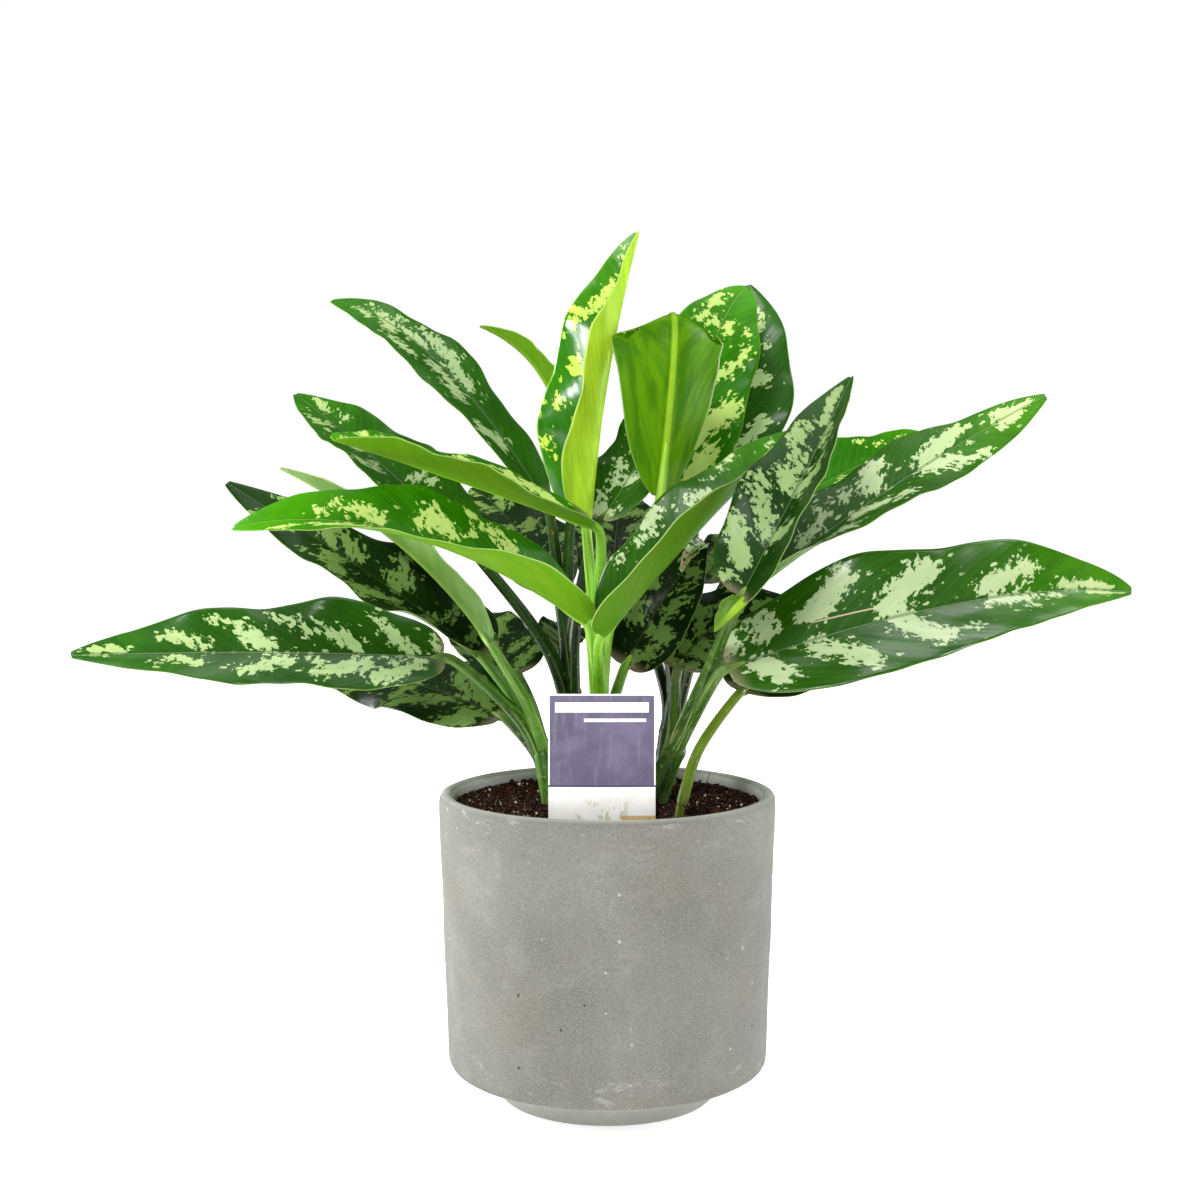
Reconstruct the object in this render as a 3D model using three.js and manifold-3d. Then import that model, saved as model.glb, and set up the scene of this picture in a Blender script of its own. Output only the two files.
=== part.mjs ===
// A Chinese evergreen, Aglaonema commutatum 'Maria', in a cast cement pot.
// Millimetres, +Z up. The origin is the middle of the pot's foot, on the surface that it stands on.
// -Y is the side that the plant is looked at from.
//
// Five leafy shoots and one single stalk stand in holes in the soil. A shoot is one body: its cane
// and the stalks that grow from it. Every leaf blade is a body of its own, on the end of its stalk.
import * as THREE from "three";
import { mergeVertices } from "three/addons/utils/BufferGeometryUtils.js";
import Module from "manifold-3d";

const wasm = await Module();
wasm.setup();

// Pot
const POT_HEIGHT = 137;
const RIM_RADIUS = 75;
const BODY_FOOT_RADIUS = 71.3;
const WALL = 6.6;
const RIM_ROUND = 2.4;
const FOOT_HEIGHT = 14;
const FOOT_TOP_RADIUS = 52;
const FOOT_RADIUS = 48.5;
const EDGE_BEVEL = 2.4;
const FLOOR_Z = 24;
const ROUND_SEGMENTS = 48;

// Soil
const SOIL_TOP = 131.5;
const SOIL_DOME = 2.5;
const SOIL_BUMP = 0.55;
const SOIL_RINGS = [0.82, 0.6, 0.38, 0.17];
const FIT_GAP = 0.3;

// Label: a card with a pointed stake below its shoulder
const LABEL_WIDTH = 45;
const LABEL_TOP = 186;
const LABEL_SHOULDER = 118;
const LABEL_POINT = 82;
const LABEL_THICK = 0.9;
const LABEL_CORNER = 1.6;
const LABEL_PLACE = { x: -2.5, y: -50 };

// Blades
const BLADE_THICK = 0.8;
const RIB_DEPTH = 1.5;
const BLADE_ROWS = 11;
const BLADE_COLUMNS = [-1, -0.55, -0.1, 0, 0.1, 0.55, 1];
const FOLD_START = 0.16;
const CURL = 0.22;
const WAVES = 2.6;
const RIPPLE = 0.05;
const BASE_POWER = 0.42;
const TIP_POWER = 0.82;

// Stalks and canes
const STALK_GAP = 0.7;
const STALK_RADIUS = { root: 3.6, middle: 2.7, end: 2.1 };
const SINGLE_STALK_RADIUS = { root: 2.5, middle: 2.2, end: 2.0 };
const CANE_RADIUS = { root: 7, top: 4.6 };
const SLIM_CANE = 0.37;
const CANE_DEPTH = 100;

// Each cane, from its root in the soil to its top
const SHOOTS = {
  left: [[-21, -15, CANE_DEPTH], [-23, -15, 132], [-29, -14, 160]],
  centre: [[-3, -9, CANE_DEPTH], [-3, -9, 132], [-4, -10, 180]],
  right: [[20, -13, CANE_DEPTH], [20, -14, 132], [32, -17, 163]],
  back_left: [[-13, 22, CANE_DEPTH], [-13, 22, 132], [-17, 25, 185]],
  back_right: [[24, 34, CANE_DEPTH], [26, 36, 132], [34, 50, 180]],
  front: [[28, -46, CANE_DEPTH], [29.5, -46, 128], [32, -46, 146]],
};

// Each leaf: the height on the cane where its stalk leaves, then the base, middle and tip of its
// midrib, the way that its upper face looks, its width, the angles in degrees by which its left and
// right halves fold up at the base and at the tip, and the depth of the waves in its margins. A last
// number is there where the base isn't as round as the others'.
const LEAVES = {
  left: [
    [140, [-72, -8, 197], [-146, -26, 201], [-224, -50, 202], [0, -0.85, 0.5], 48, [35, 40], [15, 10], 2.6],
    [136, [-47, 5, 169], [-101, 51, 181], [-150, 100, 180], [-0.1, -0.6, 0.8], 44, [15, 5], [10, 10], 3.6],
    [146, [-57, 8, 196], [-108, 43, 229], [-183, 75, 273], [0.05, -0.5, 0.85], 48, [60, -5], [20, 20], 3.2],
    [154, [-51, -8, 203], [-96, 40, 245], [-159, 86, 280], [0.5, 0.2, 0.8], 29, [60, 45], [25, 35], 1.2],
    [150, [-42, 45, 184], [-60, 98, 198], [-84, 148, 206], [-0.1, -0.3, 0.9], 42, [15, 10], [15, 10], 2.0],
  ],
  centre: [
    [150, [-10, -38, 216], [-80, -80, 254], [-151, -72, 256], [0.2, -0.6, 0.8], 48, [90, 15], [20, 25], 1.4],
    [156, [-2, -48, 211], [44, -33, 261], [90, 62, 298], [-0.35, -0.55, 0.75], 47, [20, 35], [95, 40], 1.2],
    [165, [-7, -23, 256], [-74, -58, 280], [-107, -95, 291], [0.1, -0.3, 0.95], 45, [25, 60], [30, 15], 1.2],
    [172, [-9, -2, 258], [0, 2, 328], [14, 35, 387], [-0.45, -0.9, 0], 52, [20, 25], [125, 80], 1.8],
    [170, [23, -12, 268], [29, -9, 344], [20, 24, 318], [0, 0.8, -0.6], 55, [54, 40], [26, 20], 1.0, 0.58],
    [140, [8, 3, 192], [24, 5, 220], [44, 18, 246], [-0.3, -0.85, 0.4], 38, [15, 10], [15, 10], 1.4],
  ],
  right: [
    [150, [51, -34, 195], [150, -25, 222], [225, -25, 227], [0, -0.85, 0.5], 60, [5, 25], [20, 50], 2.0],
    [158, [61, -20, 228], [133, 5, 276], [194, 5, 312], [-0.35, -0.6, 0.7], 47, [20, 0], [65, -25], 1.8],
    [162, [55, -54, 227], [79, -45, 272], [108, 6, 320], [-0.3, -0.85, 0.45], 45, [25, 15], [60, 65], 1.4],
    [140, [32, 10, 190], [52, 21, 209], [90, 26, 217], [-0.1, -0.85, 0.5], 42, [10, 10], [15, 10], 2.0],
  ],
  back_left: [
    [160, [-29, 30, 266], [-83, 58, 333], [-133, 85, 361], [0.5, -0.65, 0.6], 41, [35, 0], [-15, 20], 1.6],
    [150, [-63, 15, 246], [-111, 66, 285], [-156, 115, 317], [0.2, -0.55, 0.8], 44, [50, 10], [30, 35], 2.0],
    [176, [-16, 30, 279], [-30, 54, 323], [-60, 62, 347], [0.55, 0.45, 0.7], 22, [40, 30], [40, 35], 0.8],
    [168, [-3, 12, 257], [19, 26, 292], [38, 44, 334], [-0.55, -0.7, 0.4], 42, [15, 10], [20, 10], 1.6],
    [145, [-22, 40, 195], [-21, 75, 201], [-12, 112, 199], [0.2, -0.2, 0.95], 26, [30, 20], [30, 20], 1.0],
    [172, [-24, 52, 222], [-46, 98, 252], [-70, 148, 270], [0, -0.7, 0.7], 42, [15, 10], [15, 10], 2.0],
  ],
  back_right: [
    [165, [32, 45, 266], [49, 68, 334], [68, 90, 368], [-0.15, -0.9, 0.45], 50, [10, 10], [10, 10], 1.4],
    [172, [46, 80, 272], [70, 104, 323], [71, 120, 372], [-0.05, -0.9, 0.4], 48, [10, 10], [10, 10], 1.4],
    [152, [74, 40, 257], [128, 84, 284], [174, 128, 296], [-0.1, -0.6, 0.8], 38, [25, 20], [25, 20], 1.4],
    [168, [2, 58, 222], [5, 98, 252], [8, 152, 272], [0, -0.75, 0.65], 42, [15, 10], [15, 10], 2.0],
    [158, [45, 75, 225], [70, 130, 240], [90, 185, 235], [0, -0.3, 0.95], 44, [10, 10], [10, 10], 2.2],
    [142, [22, 72, 200], [38, 125, 212], [52, 178, 208], [0, -0.3, 0.95], 42, [10, 10], [10, 10], 2.2],
  ],
  front: [
    [138, [58, -25, 184], [98, 30, 190], [144, 85, 194], [0, -0.4, 0.9], 44, [10, 10], [10, 10], 2.2],
  ],
};

const vector = ([x, y, z]) => new THREE.Vector3(x, y, z);
const mix = (a, b, t) => a + (b - a) * t;
const radians = THREE.MathUtils.degToRad;

// Naming the columns of the leaf table
function leafFrom([root, base, middle, tip, face, width, left, right, wave, basePower = BASE_POWER]) {
  return { root, rib: [base, middle, tip], face, width, left, right, wave, basePower };
}

// Closed geometry from its points and faces
function geometryOf(points, faces) {
  const geometry = new THREE.BufferGeometry();
  const numbers = points.flatMap((point) => point.toArray());
  geometry.setAttribute("position", new THREE.Float32BufferAttribute(numbers, 3));
  geometry.setIndex(faces.flat());
  return geometry;
}

function solidOf(geometry) {
  const bare = geometry.clone();
  bare.deleteAttribute("normal");
  bare.deleteAttribute("uv");
  const merged = mergeVertices(bare, 1e-4);
  const vertProperties = merged.attributes.position.array;
  const triVerts = new Uint32Array(merged.index.array);
  return new wasm.Manifold(new wasm.Mesh({ numProp: 3, vertProperties, triVerts }));
}

function geometryFrom(solid) {
  const mesh = solid.getMesh();
  const geometry = new THREE.BufferGeometry();
  geometry.setAttribute("position", new THREE.Float32BufferAttribute(mesh.vertProperties, 3));
  geometry.setIndex(new THREE.BufferAttribute(mesh.triVerts, 1));
  return geometry;
}

// A round bar along a curve, closed at both ends, with a radius that changes along it
function barOf(curve, radiusAt, sides, steps) {
  const points = [];
  const faces = [];
  const { normals, binormals } = curve.computeFrenetFrames(steps, false);
  for (let i = 0; i <= steps; i++) {
    const centre = curve.getPointAt(i / steps);
    const radius = radiusAt(i / steps);
    for (let k = 0; k < sides; k++) {
      const turn = (2 * Math.PI * k) / sides;
      const point = centre.clone().addScaledVector(normals[i], radius * Math.cos(turn));
      points.push(point.addScaledVector(binormals[i], radius * Math.sin(turn)));
    }
  }
  for (let i = 0; i < steps; i++) {
    for (let k = 0; k < sides; k++) {
      const a = i * sides + k;
      const b = i * sides + ((k + 1) % sides);
      faces.push([a, b, b + sides], [a, b + sides, a + sides]);
    }
  }
  const last = steps * sides;
  for (let k = 1; k < sides - 1; k++) {
    faces.push([0, k + 1, k], [last, last + k, last + k + 1]);
  }
  return geometryOf(points, faces);
}

// The midrib is a parabola through its three points. Its frames are carried from the middle without
// roll: along runs to the tip, up looks out of the upper face and side points to the right margin.
function ribFrames(leaf, rows) {
  const [base, middle, tip] = leaf.rib.map(vector);
  const pull = middle.clone().multiplyScalar(2).addScaledVector(base, -0.5).addScaledVector(tip, -0.5);
  const curve = new THREE.QuadraticBezierCurve3(base, pull, tip);
  const frames = rows.map((u) => ({ u, at: curve.getPoint(u), along: curve.getTangent(u) }));
  const start = rows.findIndex((u) => u >= 0.499);
  const carry = (from, frame) => {
    frame.up = from.clone().addScaledVector(frame.along, -from.dot(frame.along)).normalize();
    frame.side = new THREE.Vector3().crossVectors(frame.along, frame.up);
  };
  carry(vector(leaf.face), frames[start]);
  for (let i = start + 1; i < frames.length; i++) carry(frames[i - 1].up, frames[i]);
  for (let i = start - 1; i >= 0; i--) carry(frames[i + 1].up, frames[i]);
  return frames;
}

// Half the blade's width as a share of its widest: a round base, widest a third of the way up, and
// a long tip. A larger base power gives a narrower base.
function outlineAt(u, basePower) {
  const widest = basePower / (basePower + TIP_POWER);
  const shape = (s) => s ** basePower * (1 - s) ** TIP_POWER;
  return shape(mix(0.006, 0.985, u)) / shape(widest);
}

// Cross-section of one half: it folds up beside the midrib and curls down toward the margin. Out and
// up are shares of the half width at share v of the way to the margin, and slope is the angle there.
function sectionAt(v, fold) {
  const steps = 12;
  const slopeAt = (s) => fold * (1 - Math.exp(-s / FOLD_START)) - CURL * s * s;
  let out = 0;
  let up = 0;
  for (let i = 0; i < steps; i++) {
    const slope = slopeAt((v * (i + 0.5)) / steps);
    out += (Math.cos(slope) * v) / steps;
    up += (Math.sin(slope) * v) / steps;
  }
  return { out, up, slope: slopeAt(v) };
}

// A point in the middle of the blade's thickness, and the way that the upper face looks there
function bladePoint(leaf, number, frame, v) {
  const { u, at, up, side } = frame;
  const hand = v < 0 ? -1 : 1;
  const [first, last] = v < 0 ? leaf.left : leaf.right;
  const cut = sectionAt(Math.abs(v), radians(mix(first, last, u)));
  const swing = Math.sin(2 * Math.PI * WAVES * u + number * 1.9 + hand) * v * v;
  const fade = Math.sin(Math.PI * Math.min(1, u * 1.15)) ** 0.7;
  const half = (leaf.width / 2) * outlineAt(u, leaf.basePower) * (1 + RIPPLE * swing);
  const outward = up.clone();
  if (v !== 0) {
    outward.multiplyScalar(Math.cos(cut.slope)).addScaledVector(side, -hand * Math.sin(cut.slope));
  }
  const point = at.clone().addScaledVector(side, hand * half * cut.out);
  point.addScaledVector(up, half * cut.up).addScaledVector(outward, leaf.wave * swing * fade);
  return { point, outward };
}

function bladeGeometry(leaf, number) {
  const share = (i) => i / BLADE_ROWS;
  const eased = (i) => (1 - Math.cos(Math.PI * share(i))) / 2;
  const rows = Array.from({ length: BLADE_ROWS + 1 }, (_, i) => mix(share(i), eased(i), 0.45));
  const tops = [];
  const undersides = [];
  for (const frame of ribFrames(leaf, rows)) {
    for (const v of BLADE_COLUMNS) {
      const { point, outward } = bladePoint(leaf, number, frame, v);
      const keel = v === 0 ? RIB_DEPTH * (1 - frame.u) ** 0.8 : 0;
      tops.push(point.clone().addScaledVector(outward, BLADE_THICK / 2));
      undersides.push(point.clone().addScaledVector(outward, -BLADE_THICK / 2 - keel));
    }
  }
  return geometryOf([...tops, ...undersides], sheetFaces(rows.length, BLADE_COLUMNS.length));
}

// Both faces of a sheet are split along the same diagonals, so that they never cross where it waves
function sheetFaces(rows, columns) {
  const faces = [];
  const top = (i, j) => i * columns + j;
  const under = (i, j) => rows * columns + i * columns + j;
  const right = columns - 1;
  const end = rows - 1;
  for (let i = 0; i < end; i++) {
    for (let j = 0; j < right; j++) {
      faces.push([top(i, j), top(i, j + 1), top(i + 1, j + 1)]);
      faces.push([top(i, j), top(i + 1, j + 1), top(i + 1, j)]);
      faces.push([under(i, j), under(i + 1, j + 1), under(i, j + 1)]);
      faces.push([under(i, j), under(i + 1, j), under(i + 1, j + 1)]);
    }
    faces.push([under(i, right), under(i + 1, right), top(i + 1, right)]);
    faces.push([under(i, right), top(i + 1, right), top(i, right)]);
    faces.push([under(i, 0), top(i + 1, 0), under(i + 1, 0)]);
    faces.push([under(i, 0), top(i, 0), top(i + 1, 0)]);
  }
  for (let j = 0; j < right; j++) {
    faces.push([under(0, j), under(0, j + 1), top(0, j + 1)]);
    faces.push([under(0, j), top(0, j + 1), top(0, j)]);
    faces.push([under(end, j), top(end, j + 1), under(end, j + 1)]);
    faces.push([under(end, j), top(end, j), top(end, j + 1)]);
  }
  return faces;
}

// The hole for a cane goes a little deeper than the cane
function caneCurve(shoot, deeper = 0) {
  const points = SHOOTS[shoot].map(vector);
  points[0].z -= deeper;
  return new THREE.CatmullRomCurve3(points);
}

// The point on a cane at a height, and the way that the cane runs there
function onCane(curve, height) {
  let low = 0;
  let high = 1;
  for (let i = 0; i < 24; i++) {
    const middle = (low + high) / 2;
    if (curve.getPointAt(middle).z < height) low = middle;
    else high = middle;
  }
  return { at: curve.getPointAt(low), along: curve.getTangentAt(low) };
}

// A stalk rises beside its cane, then bends over to run on into the midrib
function stalkCurve(shoot, leaf) {
  const { at: root, along: rise } = onCane(caneCurve(shoot), leaf.root);
  const [rib] = ribFrames(leaf, [0, 0.5]);
  const end = rib.at.clone().addScaledVector(rib.along, -STALK_GAP);
  const reach = root.distanceTo(end);
  const lift = root.clone().addScaledVector(rise, 0.3 * reach).lerp(end, 0.2);
  const arrival = end.clone().sub(root).normalize().addScaledVector(rib.along, 2).normalize();
  const approach = end.clone().addScaledVector(arrival, -0.045 * reach);
  return new THREE.CatmullRomCurve3([root, lift, approach, end], false, "centripetal");
}

// How thick a shoot's stalks are from their roots, at 0, to their blades, at 1
function stalkRadiusAt(shoot, t) {
  const { root, middle, end } = shoot === "front" ? SINGLE_STALK_RADIUS : STALK_RADIUS;
  return t < 0.5 ? mix(root, middle, t * 2) : mix(middle, end, t * 2 - 1);
}

function caneSolid(shoot, extra) {
  const slim = shoot === "front" ? SLIM_CANE : 1;
  const radiusAt = (t) => slim * mix(CANE_RADIUS.root, CANE_RADIUS.top, t) + extra;
  return solidOf(barOf(caneCurve(shoot, extra), radiusAt, 8, 5));
}

function shootSolid(shoot, leaves) {
  const radiusAt = (t) => stalkRadiusAt(shoot, t);
  const stalks = leaves.map((leaf) => solidOf(barOf(stalkCurve(shoot, leaf), radiusAt, 6, 8)));
  return stalks.reduce((whole, stalk) => whole.add(stalk), caneSolid(shoot, 0));
}

function turned(profile) {
  const points = profile.map(([radius, z]) => new THREE.Vector2(radius, z));
  return new THREE.LatheGeometry(points, ROUND_SEGMENTS).rotateX(Math.PI / 2);
}

function potGeometry() {
  const inner = RIM_RADIUS - WALL;
  return turned([
    [0, 0],
    [FOOT_RADIUS - 1, 0],
    [FOOT_RADIUS, 1],
    [FOOT_TOP_RADIUS, FOOT_HEIGHT - 1],
    [FOOT_TOP_RADIUS + 0.6, FOOT_HEIGHT],
    [BODY_FOOT_RADIUS - EDGE_BEVEL, FOOT_HEIGHT],
    [BODY_FOOT_RADIUS - EDGE_BEVEL * 0.3, FOOT_HEIGHT + EDGE_BEVEL * 0.4],
    [BODY_FOOT_RADIUS, FOOT_HEIGHT + EDGE_BEVEL * 1.3],
    [RIM_RADIUS, POT_HEIGHT - RIM_ROUND],
    [RIM_RADIUS - RIM_ROUND * 0.3, POT_HEIGHT - RIM_ROUND * 0.3],
    [RIM_RADIUS - RIM_ROUND, POT_HEIGHT],
    [inner + RIM_ROUND * 0.7, POT_HEIGHT],
    [inner, POT_HEIGHT - RIM_ROUND * 0.7],
    [BODY_FOOT_RADIUS - WALL, FLOOR_Z],
    [0, FLOOR_Z],
  ]);
}

function innerRadiusAt(z) {
  const share = (z - FLOOR_Z) / (POT_HEIGHT - RIM_ROUND * 0.7 - FLOOR_Z);
  return mix(BODY_FOOT_RADIUS - WALL, RIM_RADIUS - WALL, share);
}

// The soil fills the pot to just under the rim. Its top is a low dome, uneven by a sum of waves.
function soilSolid() {
  const foot = FLOOR_Z + FIT_GAP;
  const edge = innerRadiusAt(SOIL_TOP);
  const block = turned([
    [0, foot],
    [innerRadiusAt(foot) - FIT_GAP, foot],
    [edge - FIT_GAP, SOIL_TOP],
    ...SOIL_RINGS.map((share) => [edge * share, SOIL_TOP]),
    [0, SOIL_TOP],
  ]);
  const place = block.attributes.position;
  for (let i = 0; i < place.count; i++) {
    const [x, y, z] = [place.getX(i), place.getY(i), place.getZ(i)];
    const inside = 1 - Math.hypot(x, y) / edge;
    if (z < SOIL_TOP - 1 || inside < 0.02) continue;
    const waves = [x * 0.31 + y * 0.17, y * 0.37 - x * 0.23 + 1.3, (x + y) * 0.11];
    const bump = waves.reduce((sum, wave) => sum + Math.sin(wave), 0);
    place.setZ(i, z + SOIL_DOME * Math.min(1, inside * 2) + SOIL_BUMP * bump);
  }
  const canes = Object.keys(SHOOTS).map((shoot) => caneSolid(shoot, FIT_GAP));
  const holes = [...canes, solidOf(labelGeometry(FIT_GAP))];
  return holes.reduce((soil, hole) => soil.subtract(hole), solidOf(block));
}

// A card on a pointed stake, upright in the soil. Extra grows it on every side, for its slot.
function labelGeometry(extra) {
  const half = LABEL_WIDTH / 2 + extra;
  const depth = LABEL_THICK + 2 * extra;
  const round = LABEL_CORNER;
  const shape = new THREE.Shape();
  shape.moveTo(0, LABEL_POINT - extra * 2);
  shape.lineTo(half, LABEL_SHOULDER);
  shape.lineTo(half, LABEL_TOP - round);
  shape.absarc(half - round, LABEL_TOP - round, round, 0, Math.PI / 2);
  shape.lineTo(round - half, LABEL_TOP);
  shape.absarc(round - half, LABEL_TOP - round, round, Math.PI / 2, Math.PI);
  shape.lineTo(-half, LABEL_SHOULDER);
  const card = new THREE.ExtrudeGeometry(shape, { depth, bevelEnabled: false, curveSegments: 4 });
  return card.translate(0, 0, -depth / 2).rotateX(Math.PI / 2).translate(LABEL_PLACE.x, LABEL_PLACE.y, 0);
}

const finish = (color, roughness) => new THREE.MeshStandardMaterial({ color, roughness, metalness: 0 });

const plant = new THREE.Group();
function place(name, geometry, material) {
  const mesh = new THREE.Mesh(geometry, material);
  mesh.name = name;
  plant.add(mesh);
}

place("pot", potGeometry(), finish(0x9d9f98, 0.9));
place("soil", geometryFrom(soilSolid()), finish(0x3a2418, 1));
place("label", labelGeometry(0), finish(0x5d5070, 0.5));
let number = 0;
for (const [shoot, rows] of Object.entries(LEAVES)) {
  const leaves = rows.map(leafFrom);
  place(`${shoot}_shoot`, geometryFrom(shootSolid(shoot, leaves)), finish(0x6f9a3a, 0.5));
  leaves.forEach((leaf, i) => {
    number += 1;
    place(`${shoot}_leaf_${i + 1}`, bladeGeometry(leaf, number), finish(0x2f6b22, 0.35));
  });
}

export default plant;
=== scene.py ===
# The looks of a Chinese evergreen, Aglaonema commutatum 'Maria', in a cast cement pot.
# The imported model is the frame. Each of its nodes is replaced by a finer piece of the same form,
# and every piece gets its own procedural material. Tables and shapes are in millimetres, and a
# shape turns into metres when its mesh is made.
import math

import bpy
import numpy as np
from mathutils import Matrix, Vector, noise


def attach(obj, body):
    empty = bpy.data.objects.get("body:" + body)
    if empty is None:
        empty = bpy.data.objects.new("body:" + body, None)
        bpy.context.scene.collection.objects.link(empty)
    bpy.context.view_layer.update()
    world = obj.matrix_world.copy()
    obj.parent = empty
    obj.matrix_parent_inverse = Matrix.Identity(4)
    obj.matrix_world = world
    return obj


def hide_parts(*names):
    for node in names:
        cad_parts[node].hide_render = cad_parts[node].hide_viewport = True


MM = 0.001
BODY = "root"
SEED = 20240
CURL_SEED = 50
SHOOT_SEED = 100
LITTER_SEED = 7

# Pot
POT_HEIGHT = 137
RIM_RADIUS = 75
BODY_FOOT_RADIUS = 71.3
WALL = 6.6
RIM_ROUND = 2.4
FOOT_HEIGHT = 14
FOOT_TOP_RADIUS = 52
FOOT_RADIUS = 48.5
EDGE_BEVEL = 2.4
FLOOR_Z = 24
POT_SEGMENTS = 220
POT_STEP = 1.7
CENTRE_HOLE = 0.01

# How deep the cast wall's slow and quick bumps are, and how close they follow each other
WALL_BUMPS = [(0.35, 0.035), (0.12, 0.12)]

# Soil
SOIL_TOP = 131.5
SOIL_DOME = 2.5
SOIL_RINGS = 70
SOIL_SEGMENTS = 200
SOIL_HOLE = 0.02
CRUMBS = 1500
FIBRES = 380
PALE_CRUMBS = 0.2
LUMP_RINGS = 5
LUMP_SIDES = 7
FIBRE_STEPS = 8
FIBRE_SIDES = 4

# Dead fibres that stand up out of the soil
STANDING_FIBRES = [
    [[42.5, -14, 131], [43, -14, 141], [45, -14.5, 147]],
    [[45, -14.5, 132], [44.5, -14, 137], [43.4, -13.5, 140]],
    [[-46, -20, 132], [-48, -21, 136], [-47.5, -22, 138.5]],
]

# Label
LABEL_WIDTH = 45
LABEL_TOP = 186
LABEL_SHOULDER = 118
LABEL_POINT = 82
LABEL_THICK = 0.9
LABEL_CORNER = 1.6
LABEL_X = -2.5
LABEL_Y = -50
LABEL_BOW = 0.5
LABEL_BORDER = 0.6
LABEL_BAND_Z = 147.2
LABEL_EDGE = 0.18
PRINT_BLUR = 0.1

# Plain bars on the card: middle and half width across, middle and half width in height
LIGHT_BARS = [(0, 19.6, 180.4, 2.1), (5.5, 13, 175, 0.7)]
FOOT_BAR = (16, 8, 133.4, 1.3)

# Blades: the same formula as the part's source, on a finer grid
BLADE_THICK = 0.8
MARGIN_THICK = 0.36
RIB_DEPTH = 1.5
RIB_GROOVE = 0.35
FOLD_START = 0.16
CURL = 0.22
WAVES = 2.6
WAVE_TURN = 1.9
RIPPLE = 0.05
FINE_RIPPLE = 0.35
FINE_WAVES = 8.3
BASE_POWER = 0.42
TIP_POWER = 0.82
OUTLINE_ENDS = (0.006, 0.985)
SECTION_STEPS = 12
BLADE_ROWS = 96
BLADE_COLUMNS = 40
VEIN_SPACING = 6.4
VEIN_RELIEF = 0.05
VEIN_SLANT = 1.05
VEIN_ARCH = 0.022
PATCH_REACH = 9.0

# Stalks and canes
STALK_GAP = 0.7
STALK_RADIUS = [3.6, 2.7, 2.1]
SINGLE_STALK_RADIUS = [2.5, 2.2, 2.0]
STALK_END_TAPER = [0.85, 0.7, 0.5, 0.2]
STALK_STEPS = 52
STALK_SIDES = 40
SHEATH_SHARE = 0.52
WING_HEIGHT = 0.3
CANE_RADIUS = [7, 4.6]
SLIM_CANE = 0.37
CANE_DEPTH = 100
CANE_STEPS = 60
CANE_SIDES = 32
CANE_SOIL_Z = 132
RING_SPACING = 11

# Studio: how bright the backdrop is as a light, and the floor's own glow around the pot and far off,
# which is stronger under the pot's edge
AMBIENT = 0.1
FLOOR_SIZE = 6.0
FLOOR_GLOW = [0.42, 1.0]
FLOOR_GLOW_REACH = [0.35, 1.3]
FOOT_GLOW = 0.6
FOOT_GLOW_REACH = [0.082, 0.125]

# Area lights, in metres and watts: place, size and power. All of them face the plant's middle.
PLANT_MIDDLE = (0, 0, 0.2)
LIGHTS = {
    "key": [(-0.3, -1.1, 1.1), (0.4, 0.36), 15.5],
    "top": [(0.1, 0.1, 1.45), (1.1, 0.8), 11],
    "front": [(0, -1.5, 0.25), (1.2, 0.4), 4],
    "left_edge": [(-1.2, 0.42, 0.55), (0.45, 1.1), 32],
    "right_edge": [(1.2, 0.45, 0.5), (0.45, 1.1), 22],
}

# Camera, in metres and degrees
CAMERA_PLACE = (-0.0033, -0.817, 0.279)
CAMERA_TILT = 86
CAMERA_LENS = 55.4
CAMERA_SENSOR = 36

# Each cane, from its root in the soil to its top
SHOOTS = {
    "left": [[-21, -15, CANE_DEPTH], [-23, -15, 132], [-29, -14, 160]],
    "centre": [[-3, -9, CANE_DEPTH], [-3, -9, 132], [-4, -10, 180]],
    "right": [[20, -13, CANE_DEPTH], [20, -14, 132], [32, -17, 163]],
    "back_left": [[-13, 22, CANE_DEPTH], [-13, 22, 132], [-17, 25, 185]],
    "back_right": [[24, 34, CANE_DEPTH], [26, 36, 132], [34, 50, 180]],
    "front": [[28, -46, CANE_DEPTH], [29.5, -46, 128], [32, -46, 146]],
}

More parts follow.
